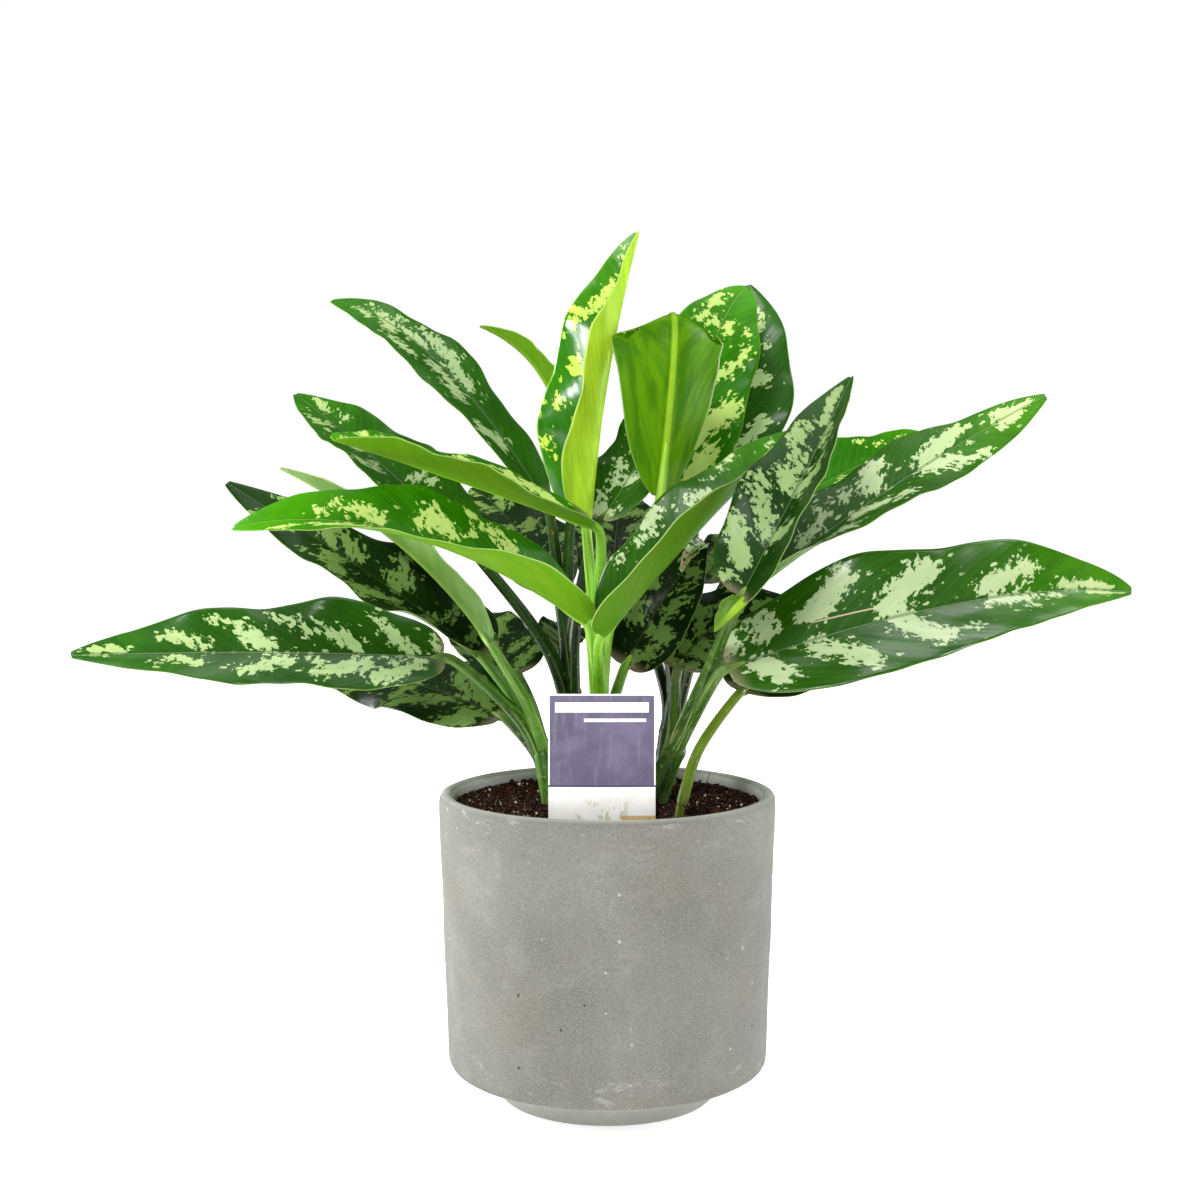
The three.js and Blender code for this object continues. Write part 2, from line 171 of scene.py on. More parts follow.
# Each leaf, as in the part's source: the height on the cane where its stalk leaves, the base,
# middle and tip of its midrib, the way its upper face looks, its width, the angles by which its
# left and right halves fold up at the base and at the tip, and the depth of its waves. A last
# number is there where the base isn't as round as the others'.
LEAVES = {
    "left": [
        [140, [-72, -8, 197], [-146, -26, 201], [-224, -50, 202], [0, -0.85, 0.5], 48, [35, 40], [15, 10], 2.6],
        [136, [-47, 5, 169], [-101, 51, 181], [-150, 100, 180], [-0.1, -0.6, 0.8], 44, [15, 5], [10, 10], 3.6],
        [146, [-57, 8, 196], [-108, 43, 229], [-183, 75, 273], [0.05, -0.5, 0.85], 48, [60, -5], [20, 20], 3.2],
        [154, [-51, -8, 203], [-96, 40, 245], [-159, 86, 280], [0.5, 0.2, 0.8], 29, [60, 45], [25, 35], 1.2],
        [150, [-42, 45, 184], [-60, 98, 198], [-84, 148, 206], [-0.1, -0.3, 0.9], 42, [15, 10], [15, 10], 2.0],
    ],
    "centre": [
        [150, [-10, -38, 216], [-80, -80, 254], [-151, -72, 256], [0.2, -0.6, 0.8], 48, [90, 15], [20, 25], 1.4],
        [156, [-2, -48, 211], [44, -33, 261], [90, 62, 298], [-0.35, -0.55, 0.75], 47, [20, 35], [95, 40], 1.2],
        [165, [-7, -23, 256], [-74, -58, 280], [-107, -95, 291], [0.1, -0.3, 0.95], 45, [25, 60], [30, 15], 1.2],
        [172, [-9, -2, 258], [0, 2, 328], [14, 35, 387], [-0.45, -0.9, 0], 52, [20, 25], [125, 80], 1.8],
        [170, [23, -12, 268], [29, -9, 344], [20, 24, 318], [0, 0.8, -0.6], 55, [54, 40], [26, 20], 1.0, 0.58],
        [140, [8, 3, 192], [24, 5, 220], [44, 18, 246], [-0.3, -0.85, 0.4], 38, [15, 10], [15, 10], 1.4],
    ],
    "right": [
        [150, [51, -34, 195], [150, -25, 222], [225, -25, 227], [0, -0.85, 0.5], 60, [5, 25], [20, 50], 2.0],
        [158, [61, -20, 228], [133, 5, 276], [194, 5, 312], [-0.35, -0.6, 0.7], 47, [20, 0], [65, -25], 1.8],
        [162, [55, -54, 227], [79, -45, 272], [108, 6, 320], [-0.3, -0.85, 0.45], 45, [25, 15], [60, 65], 1.4],
        [140, [32, 10, 190], [52, 21, 209], [90, 26, 217], [-0.1, -0.85, 0.5], 42, [10, 10], [15, 10], 2.0],
    ],
    "back_left": [
        [160, [-29, 30, 266], [-83, 58, 333], [-133, 85, 361], [0.5, -0.65, 0.6], 41, [35, 0], [-15, 20], 1.6],
        [150, [-63, 15, 246], [-111, 66, 285], [-156, 115, 317], [0.2, -0.55, 0.8], 44, [50, 10], [30, 35], 2.0],
        [176, [-16, 30, 279], [-30, 54, 323], [-60, 62, 347], [0.55, 0.45, 0.7], 22, [40, 30], [40, 35], 0.8],
        [168, [-3, 12, 257], [19, 26, 292], [38, 44, 334], [-0.55, -0.7, 0.4], 42, [15, 10], [20, 10], 1.6],
        [145, [-22, 40, 195], [-21, 75, 201], [-12, 112, 199], [0.2, -0.2, 0.95], 26, [30, 20], [30, 20], 1.0],
        [172, [-24, 52, 222], [-46, 98, 252], [-70, 148, 270], [0, -0.7, 0.7], 42, [15, 10], [15, 10], 2.0],
    ],
    "back_right": [
        [165, [32, 45, 266], [49, 68, 334], [68, 90, 368], [-0.15, -0.9, 0.45], 50, [10, 10], [10, 10], 1.4],
        [172, [46, 80, 272], [70, 104, 323], [71, 120, 372], [-0.05, -0.9, 0.4], 48, [10, 10], [10, 10], 1.4],
        [152, [74, 40, 257], [128, 84, 284], [174, 128, 296], [-0.1, -0.6, 0.8], 38, [25, 20], [25, 20], 1.4],
        [168, [2, 58, 222], [5, 98, 252], [8, 152, 272], [0, -0.75, 0.65], 42, [15, 10], [15, 10], 2.0],
        [158, [45, 75, 225], [70, 130, 240], [90, 185, 235], [0, -0.3, 0.95], 44, [10, 10], [10, 10], 2.2],
        [142, [22, 72, 200], [38, 125, 212], [52, 178, 208], [0, -0.3, 0.95], 42, [10, 10], [10, 10], 2.2],
    ],
    "front": [
        [138, [58, -25, 184], [98, 30, 190], [144, 85, 194], [0, -0.4, 0.9], 44, [10, 10], [10, 10], 2.2],
    ],
}

# Leaf colours: ground, ground near the tip, patch, patch near the tip, underside
PALETTES = {
    # The shaded, deep and inner palettes are darker copies for leaves that lie in the plant's shade: painted
    # shade
    "shaded": ["#0c2303", "#163a04", "#607c3c", "#86a658", "#4c6c22"],
    "deep": ["#133404", "#205008", "#8ca66c", "#9cb470", "#587a22"],
    "old": ["#1e4a05", "#2c6a06", "#aec58c", "#bbd386", "#628238"],
    "far": ["#205005", "#2f7006", "#98ae7c", "#a8c078", "#587a30"],
    "mid": ["#225004", "#3f8008", "#b0c294", "#bed090", "#547a1a"],
    "young": ["#286a02", "#429002", "#b6ce70", "#c4da7c", "#66901a"],
    # The upright palette's underside is partly the leaf's own light green and partly painted light, standing in
    # for light that shines through the leaf
    "upright": ["#2a7202", "#3f8802", "#c4dc54", "#cbe278", "#aed230"],
    "folded": ["#2c6604", "#3c7204", "#b8d284", "#cce094", "#558404"],
    "inner": ["#081c02", "#0f2903", "#5c783a", "#6a8644", "#47661a"],
}

# How strongly each kind of leaf mirrors its surroundings, where it differs from the rest
SHEEN = {"old": 0.1, "young": 0.05, "upright": 0.05, "folded": 0.05, "inner": 0.05}
COMMON_SHEEN = 0.08

# Each shoot's stalks: light, main and dark; the back shoots' darker colours are partly painted shade
STEM_COLOURS = {
    "left": ["#93b45e", "#44701c", "#102005"],
    "centre": ["#b8e660", "#5a9614", "#205006"],
    "right": ["#b0c67e", "#365a12", "#0a1603"],
    "back_left": ["#56772a", "#1f400a", "#0a1605"],
    "back_right": ["#4d6a2c", "#1b340a", "#0a1404"],
    "front": ["#82963a", "#4c6410", "#263a06"],
}

# How light each stalk is, from its shoot's dark colour at 0 to the light one at 1. The low tones of stalks deep
# in the plant are partly painted shade.
STALK_TONES = {
    "left": [0.3, 0.22, 0.5, 0.7, 0.3],
    "centre": [0.7, 0.55, 0.42, 0.8, 0.8, 0.2],
    "right": [0.5, 0.35, 0.4, 0.3],
    "back_left": [0.3, 0.35, 0.5, 0.3, 0.3, 0.2],
    "back_right": [0.4, 0.3, 0.4, 0.2, 0.2, 0.2],
    "front": [0.5],
}
CANE_TONE = 0.35

# How much gloss a leaf has and how rough that is, where they differ from the rest
GLOSS = {
    "centre_leaf_2": [0.6, 0.16],
    "centre_leaf_4": [0.9, 0.12],
    "left_leaf_1": [0.22, 0.16],
    "left_leaf_2": [0.25, 0.2],
    "right_leaf_1": [0.8, 0.2],
    "back_right_leaf_2": [0.2, 0.2],
}
COMMON_GLOSS = [0.03, 0.12]

# Small curled ends that the blades' own formula doesn't give: the palette of each, and a row as in
# the leaf table
CURLS = {
    "centre_leaf_6": (
        "old",
        [0, [44, 17.5, 246], [38, 9, 243], [33, 7, 234], [-0.3, -0.9, 0.3], 9, [40, 60], [50, 70], 0.4],
    ),
    "right_leaf_3": (
        "deep",
        [0, [56, -57, 226], [50, -60, 220], [44, -59, 213], [0.2, 0.95, 0.1], 12, [10, 20], [60, 110], 0.5],
    ),
}
CURL_STROKES = [(0.3, -0.3, 0.5, 0.4, 2.4)]

# The one leaf with a scratch, and the scratch's ends on it: how far along and across
SCRATCHED_LEAF = "right_leaf_1"
SCRATCH_ENDS = [(33, -7.5), (58, -6)]

# The shares of darker green in an underside's clouds, mottles and veins, and the one leaf that shows
# its whole underside
COMMON_CLOUDS = (0.3, 0.12, 0.1)
FOLDED_CLOUDS = (0.6, 0.75, 0.2)
FOLDED_LEAF = "centre_leaf_5"

# Each leaf's palette, and the halves on which its patches are scattered by chance
LOOKS = {
    "left": [("old", ""), ("shaded", "both"), ("shaded", "both"), ("old", "both"), ("shaded", "both")],
    "centre": [
        ("young", "left"), ("mid", "right"), ("young", "both"), ("upright", "right"), ("folded", "both"),
        ("inner", "right"),
    ],
    "right": [("mid", ""), ("mid", ""), ("deep", ""), ("inner", "both")],
    "back_left": [
        ("far", ""), ("far", "left"), ("young", "both"), ("mid", ""), ("inner", "both"), ("shaded", "both"),
    ],
    "back_right": [
        ("young", "left"), ("old", "left"), ("young", ""), ("inner", "both"), ("inner", "both"),
        ("inner", "both"),
    ],
    "front": [("inner", "both")],
}
HALVES = {"both": (-1, 1), "left": (-1,), "right": (1,), "": ()}

# Patches given one by one, as strokes of a round brush: from u, v to u, v in hundredths, and the brush's
# radius. u runs from 0 at the leaf's base to 100 at its tip, and v from -100 at the left margin to
# 100 at the right.
PATCHES = {
    "right_leaf_1": [
        (2, -80, 3, -40, 3.6), (9, -80, 9, -40, 4), (19, -40, 27, -75, 5.2), (35, -20, 46, -65, 6),
        (57, -15, 70, -55, 4.6), (80, -15, 91, -20, 4.6), (86, 0, 96, 35, 4), (6, 20, 9, 60, 6),
        (18, 15, 27, 70, 5), (36, 12, 44, 60, 5.6), (57, 8, 68, 10, 3), (50, 60, 52, 65, 2),
        (67, 33, 70, 35, 1.8), (76, 14, 77, 16, 1.8),
    ],
    "right_leaf_2": [
        (3, -30, 10, -60, 4), (2, 30, 9, 60, 3), (12, 20, 20, 60, 4.2), (18, -12, 27, -35, 3),
        (12, -70, 17, -75, 4), (26, -55, 27, -60, 1.8), (34, -35, 34, -55, 3), (41, -30, 46, -75, 5.2),
        (57, -12, 71, -50, 5.4), (85, -40, 86, 25, 6.4), (92, -30, 90, 10, 5), (33, 12, 40, 40, 4),
        (45, 60, 46, 62, 4), (25, 45, 26, 60, 3.4), (57, 18, 64, 35, 5.4), (65, 58, 72, 75, 4),
        (70, 14, 71, 16, 1.6),
    ],
    "right_leaf_3": [
        (3, -80, 7, -40, 2.4), (14, -40, 28, -80, 5), (27, -18, 38, -40, 4), (38, -40, 47, -75, 4.2),
        (50, -25, 55, -40, 4), (58, -15, 70, -70, 4.2), (74, -80, 75, -80, 2), (75, -45, 76, -50, 2),
        (79, -20, 92, -42, 4.2), (28, 10, 32, 50, 3.6), (50, 5, 54, 25, 4.8), (58, 5, 57, 10, 3),
        (55, 50, 66, 40, 2.4), (71, 15, 77, 5, 2.2), (71, 36, 74, 30, 2.2),
    ],
    "centre_leaf_2": [
        (30, -72, 42, -92, 3.6), (50, -50, 57, -46, 2.8), (69, -80, 75, -88, 2.4),
        (20, -85, 22, -85, 2), (62, -70, 63, -70, 1.6), (85, -40, 88, -50, 2),
    ],
    "left_leaf_1": [
        (8, -35, 19, -70, 5.4), (13, -15, 15, -20, 2.4), (23, -20, 38, -60, 3.8),
        (33, -40, 39, -15, 1.8), (46, -18, 56, -55, 4.4), (69, -35, 74, -20, 3.4),
        (80, -45, 81, -40, 2.4), (88, 12, 95, 50, 3.6), (93, -5, 96, 0, 3), (2, 30, 3, 80, 2),
        (10, 15, 19, 70, 3.8), (25, 10, 29, 30, 3.2), (29, 30, 40, 50, 2.4), (43, 62, 49, 82, 2),
        (50, 15, 57, 50, 3.8), (66, 12, 76, 50, 2.8), (61, 72, 65, 78, 1.8),
    ],
    "left_leaf_2": [(8, -80, 11, -30, 5), (70, 10, 80, 60, 5)],
    "left_leaf_3": [(56, -75, 65, -25, 4.4), (68, 20, 75, 60, 4.2), (42, 12, 48, 30, 3.4)],
    "centre_leaf_1": [
        (22, 50, 28, 72, 3.8), (33, 90, 34, 90, 2.4), (38, 25, 45, 60, 3.8), (45, 28, 47, 30, 2.6),
        (58, 20, 67, 38, 3.6), (71, 55, 72, 50, 1.8), (75, 25, 76, 28, 2.2), (31, 45, 33, 45, 1.4),
    ],
    "back_left_leaf_1": [
        (20, -70, 16, -30, 4), (33, -30, 46, -20, 4), (35, 18, 44, 25, 3.2), (43, 30, 55, 55, 3.4),
        (52, -62, 62, -62, 2.6), (56, 14, 66, 10, 3), (66, -30, 70, -5, 4), (70, 0, 77, 28, 3.8),
        (80, -20, 88, -12, 4.2), (60, 70, 62, 75, 2), (69, 60, 70, 60, 2), (82, 55, 83, 60, 1.8),
    ],
    "back_left_leaf_2": [(84, 30, 91, 70, 3.2), (74, 40, 75, 42, 1.8), (28, 50, 33, 30, 3)],
    "back_left_leaf_4": [
        (3, -60, 6, -20, 4), (5, 10, 8, 40, 2.6), (13, -40, 14, -40, 2.6), (26, -25, 36, -40, 2.6),
        (26, 10, 29, 20, 3), (50, -20, 58, -60, 4), (48, 20, 56, 60, 4), (72, -30, 80, -30, 3.6),
        (70, 20, 78, 50, 3.6),
    ],
    "centre_leaf_4": [
        (68, -50, 77, -30, 4), (46, -55, 49, -60, 2.6), (33, -70, 35, -72, 1.8),
        (88, -30, 93, -55, 2.4), (20, -85, 22, -85, 1.8), (60, -80, 66, -85, 2.4),
    ],
    "back_right_leaf_1": [
        (8, 20, 13, 60, 4.4), (18, 15, 30, 72, 5), (40, 10, 43, 42, 4), (45, 48, 55, 78, 2.6),
        (65, 20, 67, 22, 3.6), (64, 70, 66, 70, 1.2), (76, -50, 85, -70, 3.2), (79, -30, 80, -30, 1.8),
    ],
    "back_right_leaf_2": [
        (20, 30, 34, 60, 3.2), (52, 10, 53, 45, 3.2), (68, 35, 69, 36, 1.8), (78, 20, 84, 30, 2.4),
    ],
    "centre_leaf_3": [(37, -60, 38, -60, 3), (25, 70, 27, 70, 1.8)],
    "centre_leaf_6": [(33, -30, 40, -45, 4.2), (58, -50, 60, -50, 2.2), (80, 2, 86, -20, 4)],
    "right_leaf_4": [(77, 30, 83, 75, 5.6), (55, 75, 62, 40, 3.4)],
    "back_right_leaf_3": [
        (60, -45, 62, -45, 2), (73, -45, 74, -45, 2), (55, -75, 56, -75, 1.6), (20, -30, 26, -40, 2.2),
        (30, 30, 36, 40, 2), (50, 30, 56, 20, 1.8), (72, 30, 80, 15, 1.6),
    ],
}


# Colours are written as they look on a screen, and Blender wants them linear
def colour(code):
    shares = [int(code[i : i + 2], 16) / 255 for i in (1, 3, 5)]
    linear = [s / 12.92 if s <= 0.04045 else ((s + 0.055) / 1.055) ** 2.4 for s in shares]
    return (*linear, 1.0)


def unit(vectors):
    return vectors / np.linalg.norm(vectors, axis=-1, keepdims=True)


def mix(a, b, t):
    return a + (b - a) * t


def perpendicular(vector, axis):
    return unit(vector - axis * np.dot(vector, axis))


def all_round(count):
    return np.linspace(0, 2 * np.pi, count, endpoint=False)


def run_length(line):
    return np.linalg.norm(np.diff(line, axis=0), axis=1).sum()


# Three values for every point of a grid
def point_values(*grids):
    return np.stack(np.broadcast_arrays(*grids), -1).reshape(-1, 3)


# Builds the nodes of one material in few words
class Shader:
    def __init__(self, name):
        self.material = bpy.data.materials.new(name)
        self.material.use_nodes = True
        self.tree = self.material.node_tree
        self.skin = self.tree.nodes["Principled BSDF"]

    def feed(self, socket, value):
        if isinstance(value, bpy.types.NodeSocket):
            self.tree.links.new(value, socket)
        else:
            socket.default_value = value

    def add(self, kind, inputs, **settings):
        node = self.tree.nodes.new("ShaderNode" + kind)
        for key, value in settings.items():
            setattr(node, key, value)
        for key, value in inputs.items():
            self.feed(node.inputs[key], value)
        return node

    def math(self, operation, a, b=0.0, c=0.0):
        return self.add("Math", {0: a, 1: b, 2: c}, operation=operation).outputs[0]

    def plus(self, a, b):
        return self.math("ADD", a, b)

    def minus(self, a, b):
        return self.math("SUBTRACT", a, b)

    def times(self, a, b):
        return self.math("MULTIPLY", a, b)

    def distance(self, a, b=0.0):
        return self.math("ABSOLUTE", self.minus(a, b))

    def most(self, a, b):
        return self.math("MAXIMUM", a, b)

    def blend(self, share, a, b, kind="MIX"):
        node = self.add("Mix", {0: share, 6: a, 7: b}, data_type="RGBA", blend_type=kind)
        return node.outputs[2]

    def darker(self, base, shares):
        return self.blend(1.0, base, (*shares, 1), "MULTIPLY")

    def step(self, value, low, high, to_low=0.0, to_high=1.0):
        inputs = {0: value, 1: low, 2: high, 3: to_low, 4: to_high}
        return self.add("MapRange", inputs, interpolation_type="SMOOTHSTEP").outputs[0]

    # 1 where a value is below a limit, and 0 above it
    def below(self, value, low, high):
        return self.step(value, low, high, 1.0, 0.0)

    def scaled(self, vector, scale, shift=(0, 0, 0)):
        node = self.add("VectorMath", {0: vector, 1: scale, 2: shift}, operation="MULTIPLY_ADD")
        return node.outputs[0]

    def noise(self, vector, scale=1.0, detail=2.0, rough=0.5, twist=0.0):
        inputs = {"Vector": vector, "Scale": scale, "Detail": detail, "Roughness": rough, "Distortion": twist}
        return self.add("TexNoise", inputs).outputs[0]

    # A noise whose scale differs from one direction to the next
    def stretched(self, vector, scales, shift, detail, rough):
        return self.noise(self.scaled(vector, scales, shift), 1, detail, rough)

    def cells(self, vector, scale, output="Distance", size="3D"):
        node = self.add("TexVoronoi", {"Vector": vector, "Scale": scale}, voronoi_dimensions=size)
        return node.outputs[output]

    # Moves points about by a noise, so that what is laid on them gets uneven edges
    def warped(self, vector, scale, reach):
        swirl = self.add("TexNoise", {"Vector": vector, "Scale": scale, "Detail": 2.0}).outputs["Color"]
        return self.scaled(swirl, (reach,) * 3, vector)

    # Adds a signed share of a value that lies about a half
    def nudge(self, total, value, depth):
        return self.plus(total, self.times(self.minus(value, 0.5), depth))

    def tint(self, base, share, amount, code):
        return self.blend(self.times(share, amount), base, colour(code))

    # Lays tints over a colour, each where its value goes from low to high
    def coats(self, base, *rows):
        for value, low, high, amount, code in rows:
            base = self.tint(base, self.step(value, low, high), amount, code)
        return base

    def attribute(self, name):
        return self.add("Attribute", {}, attribute_name=name).outputs["Vector"]

    def parts(self, vector):
        return self.add("SeparateXYZ", {0: vector}).outputs

    def length(self, vector):
        return self.add("VectorMath", {0: vector}, operation="LENGTH").outputs["Value"]

    def flat(self, x, y):
        return self.add("CombineXYZ", {0: x, 1: y}).outputs[0]

    def place(self):
        return self.add("TexCoord", {}).outputs["Object"]

    def bump(self, height, strength, distance):
        inputs = {"Height": height, "Strength": strength, "Distance": distance}
        self.feed(self.skin.inputs["Normal"], self.add("Bump", inputs).outputs[0])

    def surface(self, base, rough):
        self.feed(self.skin.inputs["Base Color"], base)
        self.feed(self.skin.inputs["Roughness"], rough)

    def fixed(self, **values):
        for key, value in values.items():
            self.skin.inputs[key.replace("_", " ")].default_value = value


def add_object(name, data):
    thing = bpy.data.objects.new(name, data)
    bpy.context.scene.collection.objects.link(thing)
    return thing


# A mesh object from points in millimetres, with its own smooth shading and named point values
def make_piece(name, points, faces, material, values=None):
    mesh = bpy.data.meshes.new(name)
    mesh.from_pydata((np.asarray(points) * MM).tolist(), [], faces)
    mesh.validate()
    mesh.shade_smooth()
    for key, numbers in (values or {}).items():
        layer = mesh.attributes.new(key, "FLOAT_VECTOR", "POINT")
        layer.data.foreach_set("vector", np.asarray(numbers, np.float32).ravel())
    mesh.materials.append(material)
    return add_object(name, mesh)


def settle(piece, slot, *nodes):
    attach(piece, BODY)
    if nodes:
        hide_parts(*nodes)


# Faces of a closed form: between its rings, each of count points, and over its first and last ring
def closed_faces(rings, count):
    faces = []
    for i in range(rings - 1):
        for k in range(count):
            a = i * count + k
            b = i * count + (k + 1) % count
            faces.append((a, b, b + count, a + count))
    last = (rings - 1) * count
    faces.append(tuple(reversed(range(count))))
    faces.append(tuple(last + k for k in range(count)))
    return faces


# All points and faces of some meshes, as those of one
def joined(meshes):
    points, faces = [], []
    for some_points, some_faces in meshes:
        faces += [tuple(i + len(points) for i in face) for face in some_faces]
        points += list(some_points)
    return points, faces


# Leaves


# Points on a midrib, with the directions along it, out of its upper face and to its side
def rib_frames(rib, face, rows):
    base, middle, tip = (np.array(point, float) for point in rib)
    pull = 2 * middle - base / 2 - tip / 2
    u = rows[:, None]
    at = (1 - u) ** 2 * base + 2 * u * (1 - u) * pull + u * u * tip
    along = unit((1 - u) * (pull - base) + u * (tip - pull))
    up = np.zeros_like(at)
    start = int(np.argmax(rows >= 0.499))
    up[start] = perpendicular(np.array(face, float), along[start])
    for i in range(start + 1, len(rows)):
        up[i] = perpendicular(up[i - 1], along[i])
    for i in range(start - 1, -1, -1):
        up[i] = perpendicular(up[i + 1], along[i])
    return at, along, up, np.cross(along, up)


# How wide a blade is at share u of its length, as a share of its greatest width
def outline_at(u, base_power):
    widest = base_power / (base_power + TIP_POWER)
    share = mix(*OUTLINE_ENDS, u)
    most = widest**base_power * (1 - widest) ** TIP_POWER
    return share**base_power * (1 - share) ** TIP_POWER / most


# How far out and up a half's cross-section is at share v of the way to the margin, and its slope
def section_at(v, fold):
    steps = (np.arange(SECTION_STEPS) + 0.5) / SECTION_STEPS
    s = v[..., None] * steps
    slopes = fold[..., None] * (1 - np.exp(-s / FOLD_START)) - CURL * s * s
    slope = fold * (1 - np.exp(-v / FOLD_START)) - CURL * v * v
    return v * np.cos(slopes).mean(-1), v * np.sin(slopes).mean(-1), slope


# Brush strokes scattered by chance over some halves of a leaf
def chance_patches(halves, rng):
    strokes = []
    for hand in HALVES[halves]:
        u = rng.uniform(0.02, 0.1)
        while u < 0.92:
            low, high = rng.uniform(0.08, 0.35), rng.uniform(0.4, 0.85)
            lean = rng.uniform(-0.02, 0.12)
            strokes.append((u, hand * low, u + lean, hand * high, rng.uniform(2.8, 5.2) * (1.15 - 0.5 * u)))
            u += rng.uniform(0.1, 0.24)
        for _ in range(5):
            u, v = rng.uniform(0.1, 0.9), hand * rng.uniform(0.2, 0.85)
            strokes.append((u, v, u + 0.01, v, rng.uniform(1, 1.8)))
    return strokes


# How many millimetres inside the nearest stroke each point is, and less than 0 outside
def patch_field(strokes, u, v, length, half_width):
    x, y = u * length, v * half_width
    field = np.full(np.broadcast(x, y).shape, -PATCH_REACH)
    for u0, v0, u1, v1, radius in strokes:
        ax, ay = u0 * length, v0 * half_width
        bx, by = (u1 - u0) * length, (v1 - v0) * half_width
        span = max(bx * bx + by * by, 1e-6)
        t = np.clip(((x - ax) * bx + (y - ay) * by) / span, 0, 1)
        gap = np.hypot(x - ax - t * bx, y - ay - t * by)
        field = np.maximum(field, radius - gap)
    return field


# The points of a blade's rib and of its grid
def blade_grid(row):
    share = np.linspace(0, 1, BLADE_ROWS)
    rows = mix(share, (1 - np.cos(np.pi * share)) / 2, 0.45)
    spread = np.linspace(-1, 1, BLADE_COLUMNS + 1)
    columns = np.sign(spread) * np.abs(spread) ** 1.15
    at, _, up, side = rib_frames(row[1:4], row[4], rows)
    return rows[:, None], columns[None, :], at[:, None], up[:, None], side[:, None], run_length(at)


# How far the waves, the margin's flutter and the veins lift a blade
def blade_lift(u, v, hand, swing, vein, wave, number):
    fade = np.sin(np.pi * np.minimum(1, u * 1.15)) ** 0.7
    flutter = FINE_RIPPLE * np.sin(2 * np.pi * FINE_WAVES * u + number + 2 * hand) * v**4
    relief = VEIN_RELIEF * np.cos(2 * np.pi * vein / VEIN_SPACING) * np.sin(np.pi * np.abs(v)) ** 0.6
    return (wave * swing + flutter) * fade + relief


# How far a blade's two faces are from its middle, with the rib's groove above and its keel below
def blade_depths(u, v, y):
    thick = mix(BLADE_THICK, MARGIN_THICK, np.abs(v) ** 3) / 2 + 0 * u
    groove = RIB_GROOVE * np.exp(-((y / 0.8) ** 2)) * (1 - 0.7 * u)
    keel = RIB_DEPTH * (1 - u) ** 0.8 * np.clip(1 - (y / mix(2.3, 1.0, u)) ** 2, 0, 1) ** 0.6
    return thick - groove, thick + keel


# A blade's points, and for the shader each point's place on it in millimetres
def blade_mesh(row, number):
    width, left, right, wave = row[5:9]
    base_power = row[9] if len(row) > 9 else BASE_POWER
    u, v, at, up, side, length = blade_grid(row)
    hand = np.where(v < 0, -1.0, 1.0)
    fold = np.where(v < 0, mix(left[0], left[1], u), mix(right[0], right[1], u))
    out, rise, slope = section_at(np.abs(v) + 0 * u, np.radians(fold))
    swing = np.sin(2 * np.pi * WAVES * u + number * WAVE_TURN + hand) * v * v
    half = width / 2 * outline_at(u, base_power) * (1 + RIPPLE * swing)
    outward = up * np.cos(slope)[..., None] - side * (hand * np.sin(slope))[..., None]
    x = u * length + 0 * v
    y = v * half
    vein = x - VEIN_SLANT * np.abs(y) - VEIN_ARCH * y * y
    lift = blade_lift(u, v, hand, swing, vein, wave, number)
    section = side * (hand * half * out)[..., None] + up * (half * rise)[..., None]
    sheet = at + section + outward * lift[..., None]
    above, beneath = blade_depths(u, v, y)
    top = sheet + outward * above[..., None]
    under = sheet - outward * beneath[..., None]
    points = np.concatenate([top, under[:, ::-1]], axis=1).reshape(-1, 3)
    return points, u, v, np.stack([vein, y, x], -1), length


# The values of the upper face's grid, then the same ones mirrored for the underside's
def both_faces(grid):
    return np.concatenate([grid, grid[:, ::-1]], axis=1)


def leaf_piece(node, row, number, name, palette, strokes):
    points, u, v, place, length = blade_mesh(row, number)
    field = patch_field(strokes, u, v, length, row[5] / 2)
    marks = both_faces(np.stack([field, np.abs(v) + 0 * u, 0 * field], -1))
    marks[:, BLADE_COLUMNS + 1 :, 2] = 1
    values = {"leaf_place": both_faces(place), "leaf_marks": marks}
    faces = closed_faces(BLADE_ROWS, 2 * (BLADE_COLUMNS + 1))
    material = leaf_material(node, name, palette, number, length)
    return make_piece(name, points, faces, material, values)


def leaf_pieces(node, row, number, look):
    rng = np.random.default_rng(SEED + number)
    palette, halves = look
    by_hand = [(*(place / 100 for place in stroke[:4]), stroke[4]) for stroke in PATCHES.get(node, [])]
    strokes = by_hand + chance_patches(halves, rng)
    settle(leaf_piece(node, row, number, f"{node}_blade", palette, strokes), node, node)
    if node in CURLS:
        palette, row = CURLS[node]
        curl = leaf_piece(node, row, number + CURL_SEED, f"{node}_curl", palette, CURL_STROKES)
        settle(curl, node)


# The nodes of one leaf's material, with the place on the leaf in millimetres and the leaf's colours
class LeafShader(Shader):
    def __init__(self, name, palette, number, leaf_length):
        super().__init__(f"{name}_finish")
        self.leaf_length = leaf_length
        self.shift = (number * 13.7, number * 7.3, 0)
        self.spot = self.attribute("leaf_place")
        self.vein, self.across, self.along = self.parts(self.spot)
        self.field, self.margin, self.lower = self.parts(self.attribute("leaf_marks"))
        codes = [colour(code) for code in PALETTES[palette]]
        self.ground, self.ground_tip, self.patch, self.patch_tip, self.under = codes

    def grain(self, scales, detail, rough):
        return self.stretched(self.spot, scales, self.shift, detail, rough)

    # A wave that repeats along the leaf with its veins
    def vein_wave(self, length):
        return self.math("SINE", self.times(self.vein, 2 * math.pi / length))


